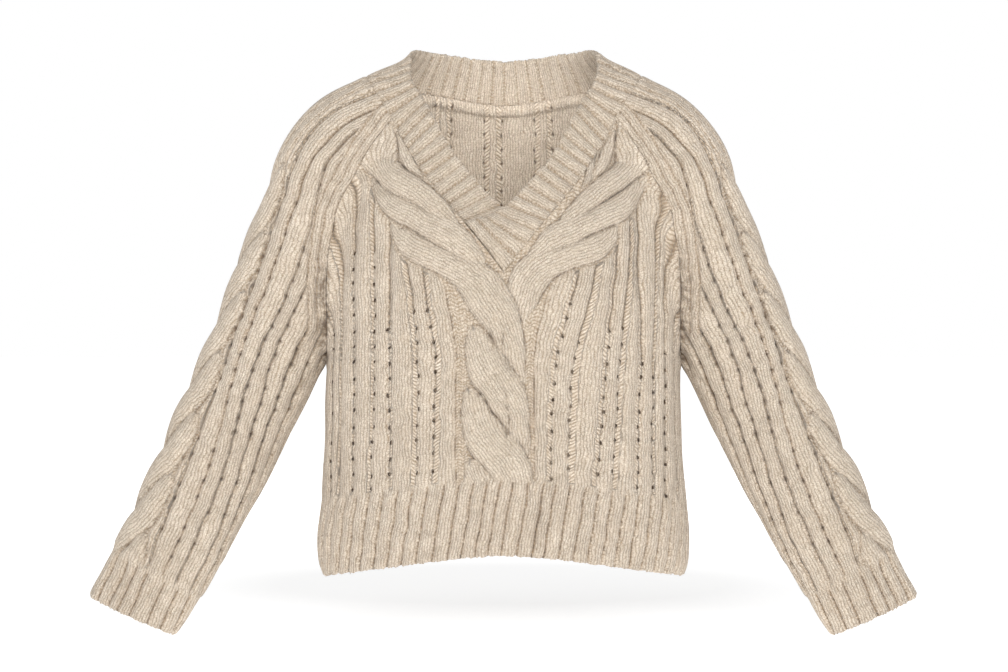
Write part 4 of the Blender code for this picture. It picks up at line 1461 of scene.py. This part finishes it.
class Nodes:
    """Short ways to add nodes to a material and link them."""

    def __init__(self, name):
        self.material = bpy.data.materials.new(name)
        self.material.use_nodes = True
        self.tree = self.material.node_tree
        self.shader = self.tree.nodes["Principled BSDF"]

    def add(self, kind, links=(), **settings):
        node = self.tree.nodes.new(kind)
        for key, value in settings.items():
            setattr(node, key, value)
        for key, value in dict(links).items():
            self.put(value, node.inputs[key])
        return node

    def put(self, value, socket):
        if isinstance(value, bpy.types.NodeSocket):
            self.tree.links.new(value, socket)
        else:
            socket.default_value = value

    def math(self, operation, *values):
        node = self.tree.nodes.new("ShaderNodeMath")
        node.operation = operation
        for value, socket in zip(values, node.inputs):
            self.put(value, socket)
        return node.outputs[0]

    def mix(self, share, low, high):
        """Mixes two numbers."""
        difference = self.math("SUBTRACT", high, low)
        return self.math("MULTIPLY_ADD", share, difference, low)

    def blend(self, share, low, high, way="MIX"):
        """Mixes two colours."""
        node = self.add("ShaderNodeMix", data_type="RGBA", blend_type=way)
        self.put(share, node.inputs["Factor"])
        self.put(low, node.inputs[6])
        self.put(high, node.inputs[7])
        return node.outputs[2]

    def attribute(self, name):
        return self.add("ShaderNodeAttribute", attribute_name=name).outputs["Fac"]

    def noise(self, scale, detail=2.0, roughness=0.5, vector=None):
        links = {"Scale": scale, "Detail": detail, "Roughness": roughness}
        node = self.add("ShaderNodeTexNoise", links)
        self.put(vector or self.add("ShaderNodeTexCoord").outputs["Object"], node.inputs["Vector"])
        return node.outputs["Fac"]

    def range(self, value, low, high, to_low=0.0, to_high=1.0):
        links = {"Value": value, "From Min": low, "From Max": high, "To Min": to_low, "To Max": to_high}
        return self.add("ShaderNodeMapRange", links).outputs["Result"]


def knitted_wool(name, light, middle, dark_fibre_and_shade, deep, purl_least=0.0):
    """Wool knitted in V-shaped stitches, with purl and lattice stitches and painted shade where the mesh says
    so.
    """
    n = Nodes(name)
    uv = n.add("ShaderNodeUVMap", uv_map="knit").outputs["UV"]
    parts = n.add("ShaderNodeSeparateXYZ", {"Vector": uv})
    meander = n.math("MULTIPLY_ADD", n.noise(70, 2), 1.6, -0.8)
    wobble = n.math("ADD", meander, n.math("MULTIPLY_ADD", n.noise(210, 3, 0.65), 1.0, -0.5))
    u = n.math("ADD", parts.outputs["X"], wobble)
    v = n.math("ADD", parts.outputs["Y"], n.math("MULTIPLY_ADD", n.noise(170, 2), 1.1, -0.55))
    titles = ("purl", "lattice", "sunk", "lace", "crease", "hole_wall_shade")
    purl, lattice, sunk, lace, crease, hole_wall_shade = (n.attribute(title) for title in titles)

    # a knit stitch: a rounded column with a slight parting, crossed by loops that rise away from its middle
    aside = n.math("ABSOLUTE", n.math("SUBTRACT", n.math("FRACT", u), 0.5))
    ridge = n.math("SUBTRACT", 1.0, n.math("POWER", n.math("MULTIPLY", aside, 2.0), 2.2))
    ridge = n.math("POWER", n.math("MAXIMUM", ridge, 0.0), 0.7)
    parting = n.range(aside, 0.0, 0.12, 0.86, 1.0)
    phase = n.math("FRACT", n.math("SUBTRACT", v, n.math("MULTIPLY", aside, 1.6)))
    loop = n.math("POWER", n.math("SINE", n.math("MULTIPLY", phase, math.pi)), 0.7)
    stitch = n.math("MULTIPLY", n.math("MULTIPLY", ridge, parting), n.math("MULTIPLY_ADD", loop, 0.62, 0.38))

    # purl stitches: short uneven strokes across the column that lean to and fro
    zigzag = n.math("PINGPONG", u, 1.6)
    row = n.math("MULTIPLY_ADD", zigzag, 0.50, n.math("MULTIPLY", v, 0.66))
    row = n.math("MULTIPLY_ADD", n.noise(240, 2, 0.6), 1.9, row)
    bump = n.math("POWER", n.math("ABSOLUTE", n.math("SINE", n.math("MULTIPLY", row, math.pi))), 0.9)
    bump = n.math("MULTIPLY", bump, n.math("MULTIPLY_ADD", ridge, 0.62, 0.28))
    bump = n.math("MULTIPLY", bump, n.range(n.noise(310, 2, 0.6), 0.35, 0.60, 0.70, 1.10))

    # slanted strands of the lattice beside a lace column
    slant = n.math("MULTIPLY_ADD", n.math("MULTIPLY", lattice, u), -0.62, n.math("MULTIPLY", v, 0.62))
    strand = n.math("POWER", n.math("ABSOLUTE", n.math("SINE", n.math("MULTIPLY", slant, math.pi))), 0.9)
    strand = n.math("MULTIPLY", strand, n.range(n.noise(260, 2, 0.6), 0.35, 0.65, 0.55, 0.95))

    is_purl = n.range(n.math("MAXIMUM", purl, purl_least), 0.3, 0.7)
    is_lattice = n.range(n.math("ABSOLUTE", lattice), 0.3, 0.7)
    relief = n.mix(is_lattice, n.mix(is_purl, stitch, bump), strand)
    patchy = n.range(n.noise(120, 3, 0.65), 0.34, 0.66, 0.55, 1.0)
    relief = n.mix(patchy, 0.72, relief)

    # fibres of the yarn
    fibre = n.noise(1300, 3, 0.7)
    fuzz = n.noise(480, 3, 0.65)
    shape = n.math("ADD", relief, n.math("MULTIPLY", fibre, 0.35))
    shape = n.math("ADD", shape, n.math("MULTIPLY", fuzz, 0.75))
    bumps = n.add("ShaderNodeBump", {"Height": shape, "Strength": 0.95, "Distance": 0.0020})
    n.tree.links.new(bumps.outputs["Normal"], n.shader.inputs["Normal"])

    # heathered colour: lighter and darker fibres and darker clouds, then painted shade between stitches, in
    # the hollows, in the lace holes and along creases
    heather = n.range(n.noise(430, 3, 0.7), 0.40, 0.60)
    fleck = n.range(n.noise(640, 2, 0.6), 0.53, 0.63)
    cloud = n.range(n.noise(26, 3, 0.6), 0.3, 0.7)
    colour = n.blend(heather, middle, light)
    colour = n.blend(n.math("MULTIPLY", fleck, 0.55), colour, dark_fibre_and_shade)
    colour = n.blend(n.math("MULTIPLY", cloud, 0.20), colour, dark_fibre_and_shade)
    # painted shade between stitches, where the stitch relief is low
    shade_between_stitches = n.range(relief, 0.75, 0.20)
    colour = n.blend(n.math("MULTIPLY", shade_between_stitches, 0.95), colour, dark_fibre_and_shade)
    # painted shade in grooves and troughs, deepest in the lowest places and broken into dots along the
    # troughs
    colour = n.blend(n.range(sunk, 0.45, 0.95, 0.0, 0.70), colour, dark_fibre_and_shade)
    notch = n.math("ABSOLUTE", n.math("SINE", n.math("MULTIPLY", v, math.pi / 2)))
    notch = n.math("MULTIPLY_ADD", n.range(notch, 0.35, 0.85), 0.75, 0.25)
    colour = n.blend(n.math("MULTIPLY", n.range(sunk, 0.62, 0.95, 0.0, 0.45), notch), colour, deep)
    # painted shade in and round the lace holes, along creases and furrows, in the fold under the arm and on
    # the holes' walls
    colour = n.blend(lace, colour, deep)
    broken = n.range(n.noise(140, 2, 0.6), 0.38, 0.62, 0.1, 0.85)
    colour = n.blend(n.math("MULTIPLY", crease, broken), colour, deep)
    colour = n.blend(hole_wall_shade, colour, deep)
    n.put(colour, n.shader.inputs["Base Color"])
    n.shader.inputs["Roughness"].default_value = 0.9
    n.shader.inputs["Specular IOR Level"].default_value = 0.25
    n.shader.inputs["Sheen Weight"].default_value = 0.25
    n.shader.inputs["Sheen Roughness"].default_value = 0.5
    return n.material


LIGHT_WOOL = (0.97, 0.865, 0.73, 1)
MIDDLE_WOOL = (0.76, 0.64, 0.51, 1)
# the darker colour is the darker fibres and also painted shade between stitches and in hollows; the deepest
# is only painted shade, in deep grooves, lace holes and creases
DARK_FIBRE_AND_SHADE_WOOL = (0.44, 0.325, 0.215, 1)
DEEP_PAINTED_SHADE = (0.14, 0.085, 0.045, 1)

cable_wool = knitted_wool("cable_wool", LIGHT_WOOL, MIDDLE_WOOL, DARK_FIBRE_AND_SHADE_WOOL, DEEP_PAINTED_SHADE)
rib_wool = knitted_wool("rib_wool", LIGHT_WOOL, MIDDLE_WOOL, DARK_FIBRE_AND_SHADE_WOOL, DEEP_PAINTED_SHADE)


# ---- the sweater's pieces ----------------------------------------------------------------------------------

WAVE = 0.0009
WAVE_SIZE = 0.085

# columns of the body's grids: how far round they go, how far they are fine, and their steps in both parts
BODY_HALF_ROUND = 0.245
FINE_ROUND = 0.080
COLUMN_STEPS = {FRONT: (0.00150, 0.00205), BACK: (0.00165, 0.00220)}
SLEEVE_GRID_COLUMNS = 197
BAND_STEP = 0.0022
BAND_GRID_COLUMNS = 25
SEAM_WANDER_SIZE = 0.026


def body_fields(face):
    """Fine grid of the front or back with its hem rib, and the numbers of the rows where it changes."""
    coarse = body_grid(face)
    tip = HEM_ROWS + BODY_ROWS + TIP_ROW
    under = HEM_ROWS + BODY_ROWS
    stops = [0, HEM_ROWS, under, len(coarse) - 1]
    if face == FRONT:
        stops.insert(3, tip)
    places = row_places(coarse[:, -1], stops)
    shares = column_shares(BODY_HALF_ROUND, FINE_ROUND, *COLUMN_STEPS[face])
    both = np.concatenate([coarse, normals(coarse)], axis=-1)
    rows = []
    for number, row in enumerate(both):
        centred = face == BACK or number <= tip
        mirror = row[1] * [-1, 1, 1, -1, 1, 1] if centred else None
        rows.append(curve(row, fine_places(row[:, :3], shares), mirror))
    both = fine_rows(np.array(rows), places, stops)
    points, outward = both[..., :3], unit(both[..., 3:])
    rib_row, under_row = (int(np.searchsorted(places, at)) for at in (HEM_ROWS, under))
    tip_row = int(np.searchsorted(places, tip)) if face == FRONT else len(places) - 1
    course = points[..., 2].copy()
    course[:under_row] = points[:under_row, -1:, 2]
    course = np.concatenate([course[:, ::-1], course], axis=1)
    points, outward = (np.concatenate([mirrored(grid[:, ::-1]), grid], axis=1) for grid in (points, outward))
    return points, outward, course, rib_row, tip_row


def body_numbers(rows, columns, tip_row, collapse):
    """Point numbers of a body grid: its halves share the middle line up to the tip of the V."""
    numbers = np.arange(rows * columns).reshape(rows, columns)
    half = columns // 2
    numbers[: tip_row + 1, half] = numbers[: tip_row + 1, half - 1]
    if collapse:
        numbers[-1, :half] = numbers[-1, 0]
        numbers[-1, half:] = numbers[-1, -1]
    return numbers


def make_body(face, name):
    """The front or back, with its hem rib."""
    points, outward, course, rib_row, tip_row = body_fields(face)
    across = round_body(points) + WANDER * waves(points, WANDER_SIZE, 8)
    height = points[..., 2] + WANDER * waves(points, WANDER_SIZE, 9)
    low = hem_ribs(face, across, course)
    high = front_knit(across, height, course) if face == FRONT else back_knit(across, course)
    rib_top = HEM_SIDE + RIB_HEIGHT
    knit = blend_knits(low, high, ease(rib_top - 0.002, rib_top + HEM_BLEND, course))
    off_seam = distance_to(points.reshape(-1, 3), RAGLAN[face]).reshape(height.shape)
    off_seam = np.minimum(off_seam, off_seam[:, ::-1])
    # painted shade in the fold under the arm
    underarm_shade = notch_shade(off_seam, points[..., 2] - UNDERARM[2], NOTCH_SHADE_WIDTH["body"])
    knit.crease = np.maximum(knit.crease, underarm_shade)
    for rows in (FRONT_FURROWS if face == FRONT else BACK_FURROWS).values():
        draw_furrow(knit, rows, across, height)
    if face == FRONT:
        holes = holes_up(FRONT_COLUMNS, [row[3] for row in FRONT_LACE], FRONT_HOLE_PITCH, rib_top - 0.01, 11)
    else:
        off_neck = distance_to(points.reshape(-1, 3), points[-1]).reshape(height.shape)
        roll = crown((off_neck - 1.2 * SEAM_ROLL_WIDTH) / SEAM_ROLL_WIDTH)
        knit.lining = SEAM_ROLL * roll * (0.8 + 0.3 * np.abs(np.sin(np.pi * across / SEAM_ROLL_KNOT)))
        levels = np.arange(rib_top, 0.0, BACK_HOLE_PITCH)
        holes = [(place, level) for place in back_columns() for level in levels]
    knit.wave(points)
    rows, columns = height.shape
    half = columns // 2
    allowed = np.zeros(height.shape, bool)
    allowed[4 : rows - 4, 4 : half - 2] = True
    allowed[4 : rows - 4, half + 2 : columns - 4] = True
    allowed[tip_row - 1 :, half - 5 : half + 5] = False
    if face == BACK:
        allowed[4 : rows - 4, 4 : columns - 4] = True
    allowed &= course > rib_top + 0.003
    numbers = body_numbers(rows, columns, tip_row, face == FRONT)
    pieces = []
    for part, start, end, wool in (
        (f"hem_rib_{name}_knit", 0, rib_row + 1, rib_wool),
        (f"{name}_knit", rib_row, rows, cable_wool),
    ):
        cut = slice(start, end)
        inside = allowed[cut].copy()
        inside[:3], inside[-3:] = False, False
        spots = hole_spots(across[cut], height[cut], holes, inside)
        part_knit = knit.part(cut)
        free = (0,) if start == 0 else None
        join = (-1,) if start == 0 else (0,)
        start_number = numbers[start, 0]
        part_numbers = numbers[cut] - start_number
        parts = (part, points[cut], outward[cut], part_knit, part_numbers, wool, spots, free, join)
        pinch, inside_share = (0.0, INSIDE) if face == FRONT else (BACK_PINCH, INSIDE_NECK)
        pieces.append(make_piece(*parts, gap=half - 1, pinch=pinch, inside=inside_share))
        flat_cut(points[cut], half - 1)
    return pieces


def make_sleeve(side, name, rows, lengths):
    """A sleeve with its cuff."""
    coarse = np.concatenate([rows, normals(rows)], axis=-1)
    top = SLEEVE_HALF_COLUMNS
    under = CUFF_ROWS + SLEEVE_ROWS
    stops = [0, CUFF_ROWS, under, len(rows) - 1]
    places = row_places(rows[:, top], stops)
    shares = np.linspace(0, 1, SLEEVE_GRID_COLUMNS)
    fine = [curve(row, fine_places(row[:, :3], shares)) for row in coarse]
    both = fine_rows(np.array(fine), places, stops)
    points, outward = both[..., :3], unit(both[..., 3:])
    cuff_row, under_row = (int(np.searchsorted(places, at)) for at in (CUFF_ROWS, under))
    length, arc = round_sleeve(points)
    arc = arc + WANDER * waves(points, WANDER_SIZE, 8)
    off_seam = np.minimum(*(distance_to(points.reshape(-1, 3), RAGLAN[face]) for face in (FRONT, BACK)))
    off_seam = off_seam.reshape(arc.shape)
    above_notch = points[..., 2] - UNDERARM[2]
    knit = sleeve_knit(arc, length, off_seam, above_notch, waves(points, SEAM_WANDER_SIZE, 12))
    cuff_top = ARM_LENGTHS[-1] - CUFF_LENGTH
    row_length = np.interp(places, np.arange(len(lengths)), lengths)[:, None]
    above_cuff = ease(cuff_top + 0.002, cuff_top - 0.014, row_length + 0 * arc)
    knit = blend_knits(cuff_knit(arc, length), knit, above_cuff)
    knit.wave(points * [side, 1, 1])
    random = draw(7)
    holes = []
    for number, (_, _, _, first) in enumerate(SLEEVE_LACE):
        if first is None:
            continue
        for place in np.arange(first * MM, 0.60, SLEEVE_HOLE_PITCH):
            place = place + random.normal(0, 0.0007)
            if place < LOWER_HOLES_FROM or random.random() < LOWER_HOLES_SHARE:
                holes.append((smooth(SLEEVE_COLUMNS, 0, number + 1, place / MM) * MM, place))
    count, columns = arc.shape
    allowed = off_seam > SEAM_RIBS_WITHIN + 0.002
    allowed[:, :4], allowed[:, -4:] = False, False
    numbers = np.arange(count * columns).reshape(count, columns)
    numbers[: under_row + 1, -1] = numbers[: under_row + 1, 0]
    points, outward = points * [side, 1, 1], outward * [side, 1, 1]
    pieces = []
    for part, start, end, wool in (
        (f"cuff_{name}_knit", 0, cuff_row + 1, rib_wool),
        (f"sleeve_{name}_knit", cuff_row, count, cable_wool),
    ):
        cut = slice(start, end)
        inside = allowed[cut].copy()
        inside[:3], inside[-3:] = False, False
        spots = hole_spots(arc[cut], length[cut], holes, inside) if start else ()
        part_knit = knit.part(cut)
        free = (0,) if start == 0 else None
        join = (-1,) if start == 0 else (0,)
        part_numbers = numbers[cut] - numbers[start, 0]
        parts = (part, points[cut], outward[cut], part_knit, part_numbers, wool, spots, free, join)
        pieces.append(make_piece(*parts, pinch=SLEEVE_PINCH))
        flat_cut(points[cut])
    return pieces


BAND_RIB_PERIOD = 0.0139
BAND_RIB_WIDTH = 0.0098
BAND_TROUGH = -0.0017
BAND_CROWN = 0.0037


def band_knit(along, across):
    """The neckband's ribs of three knit and two purl stitches, square to its edges."""
    t = (np.mod(along / BAND_RIB_PERIOD, 1) - 0.5) * BAND_RIB_PERIOD * 2 / BAND_RIB_WIDTH
    height = BAND_TROUGH + BAND_CROWN * crown(t, 3.0)
    return Knit(height, (np.abs(t) >= 1) * 1.0, 0 * along, along / BAND_RIB_PERIOD * 5, across / COURSE)


def make_neckband(front, sleeve, back):
    """The strip from its end tucked under at the V, round the back, to its end on top."""
    seam = np.concatenate([front[HEM_ROWS + BODY_ROWS + TIP_ROW :, 0], sleeve[-1][1:], back[-1][-2::-1]])
    rows = band_rows(seam)
    rows[0] += unit(rows[1] - rows[0]) * END_GAP
    tuck = ease(TUCKED_FROM, TUCKED_FULLY, azimuth_of(rows[:, 0]))[:, None, None]
    under = mirrored(rows - TUCK * tuck * normals(rows))[:-1]
    coarse = np.concatenate([rows, under[::-1]])
    middle = coarse[:, BAND_COLUMNS // 2]
    length = running_length(middle)
    count = round(length[-1] / BAND_STEP)
    places = np.interp(np.linspace(0, length[-1], count + 1), length, np.arange(len(middle)))
    lengthwise = curve(coarse, places)
    points = np.array([curve(row, np.linspace(0, BAND_COLUMNS, BAND_GRID_COLUMNS)) for row in lengthwise])
    outward = normals(points)
    along = np.repeat(np.linspace(0, length[-1], count + 1)[:, None], points.shape[1], axis=1)
    across = np.array([running_length(row) for row in points])
    knit = band_knit(along, across)
    knit.wave(points)
    numbers = np.arange(along.size).reshape(along.shape)
    parts = ("neckband_knit", points, outward, knit, numbers, rib_wool, (), (slice(None), -1))
    flat_cut(points, measure=np.mean)
    return make_piece(*parts, inside=INSIDE_NECK)


coarse = {FRONT: body_grid(FRONT), BACK: body_grid(BACK)}
sleeve_rows, sleeve_lengths = sleeve_grid()

hem_front, front = make_body(FRONT, "front")
hem_back, back = make_body(BACK, "back")
cuff_left, sleeve_left = make_sleeve(1, "left", sleeve_rows, sleeve_lengths)
cuff_right, sleeve_right = make_sleeve(-1, "right", sleeve_rows, sleeve_lengths)
neckband = make_neckband(coarse[FRONT], sleeve_rows, coarse[BACK])

# each piece with the solid it stands for and its material slot
PIECES = (
    # piece, solid, slot
    (front, "front", "cable_knit"),
    (back, "back", "cable_knit"),
    (sleeve_left, "sleeve_left", "cable_knit"),
    (sleeve_right, "sleeve_right", "cable_knit"),
    (neckband, "neckband", "rib_knit"),
    (hem_front, "hem_rib_front", "rib_knit"),
    (hem_back, "hem_rib_back", "rib_knit"),
    (cuff_left, "cuff_left", "rib_knit"),
    (cuff_right, "cuff_right", "rib_knit"),
)
for piece, solid, slot in PIECES:
    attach(piece, "root")
    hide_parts(solid)


# ---- floor, light and camera -------------------------------------------------------------------------------

# the floor's origin, 0.75 m behind the sweater, is also the middle of the painted shadow on it
FLOOR_PLACE = (0, 0.75, -0.612)
PALE = (0.6, 0.6, 0.6, 1)
# glow in the middle of the painted shadow, and away from it
FLOOR_GLOW_AND_PAINTED_SHADOW = (0.50, 0.90)
WORLD_LIGHT = 0.51


def floor_with_painted_shadow():
    """A level pale floor that glows as if over-lit, with a painted shadow: it glows less round a place behind
    the sweater's hem.
    """
    places = [(x, y, 0) for x, y in ((-40, -40), (40, -40), (40, 40), (-40, 40))]
    mesh = bpy.data.meshes.new("floor")
    mesh.from_pydata(places, [], [(0, 1, 2, 3)])
    n = Nodes("floor")
    n.put(PALE, n.shader.inputs["Base Color"])
    n.shader.inputs["Roughness"].default_value = 0.9
    n.shader.inputs["Specular IOR Level"].default_value = 0.0
    n.shader.inputs["Emission Color"].default_value = (1, 1, 1, 1)
    place = n.add("ShaderNodeTexCoord").outputs["Object"]
    away = n.add("ShaderNodeVectorMath", {"Vector": place}, operation="LENGTH").outputs["Value"]
    # painted shadow: the glow is lowest near the floor's origin, behind the hem
    n.put(n.range(away, 0.30, 0.85, *FLOOR_GLOW_AND_PAINTED_SHADOW), n.shader.inputs["Emission Strength"])
    mesh.materials.append(n.material)
    floor = bpy.data.objects.new("floor", mesh)
    floor.location = FLOOR_PLACE
    bpy.context.collection.objects.link(floor)


def soft_light(name, place, target, size, power):
    light = bpy.data.lights.new(name, "AREA")
    light.shape = "DISK"
    light.size = size
    light.energy = power
    lamp = bpy.data.objects.new(name, light)
    lamp.location = place
    lamp.visible_camera = False
    way = mathutils.Vector(target) - mathutils.Vector(place)
    lamp.rotation_euler = way.to_track_quat("-Z", "Y").to_euler()
    bpy.context.collection.objects.link(lamp)


def pale_surroundings():
    """White all round, which lights the sweater less than it shows."""
    world = bpy.data.worlds.new("studio")
    world.use_nodes = True
    tree = world.node_tree
    background = tree.nodes["Background"]
    background.inputs["Color"].default_value = (1, 1, 1, 1)
    seen = tree.nodes.new("ShaderNodeLightPath")
    strength = tree.nodes.new("ShaderNodeMapRange")
    strength.inputs["To Min"].default_value = WORLD_LIGHT
    strength.inputs["To Max"].default_value = 1.0
    tree.links.new(seen.outputs["Is Camera Ray"], strength.inputs["Value"])
    tree.links.new(strength.outputs["Result"], background.inputs["Strength"])
    bpy.context.scene.world = world


def studio():
    floor_with_painted_shadow()
    middle = (0, 0, -0.28)
    soft_light("key", (-0.9, -2.2, 2.4), middle, 1.6, 22)
    soft_light("front", (0.4, -3.8, 0.7), middle, 2.4, 63)
    soft_light("back", (0.4, 3.8, 0.9), middle, 2.4, 40)
    soft_light("neck", (0, -0.045, -0.020), (0, 0.09, -0.14), 0.10, 0.14)
    pale_surroundings()
    bpy.context.scene.view_settings.view_transform = "Standard"
    bpy.context.scene.view_settings.look = "None"


CAMERA_PLACE = (0.0005, -3.2, -0.281)
CAMERA_LENS = 105.4
CAMERA_SENSOR = 36.0

studio()
camera = bpy.data.objects.new("camera", bpy.data.cameras.new("camera"))
camera.location = CAMERA_PLACE
camera.rotation_euler = (math.pi / 2, 0, 0)
camera.data.lens = CAMERA_LENS
camera.data.sensor_width = CAMERA_SENSOR
bpy.context.collection.objects.link(camera)
bpy.context.scene.camera = camera
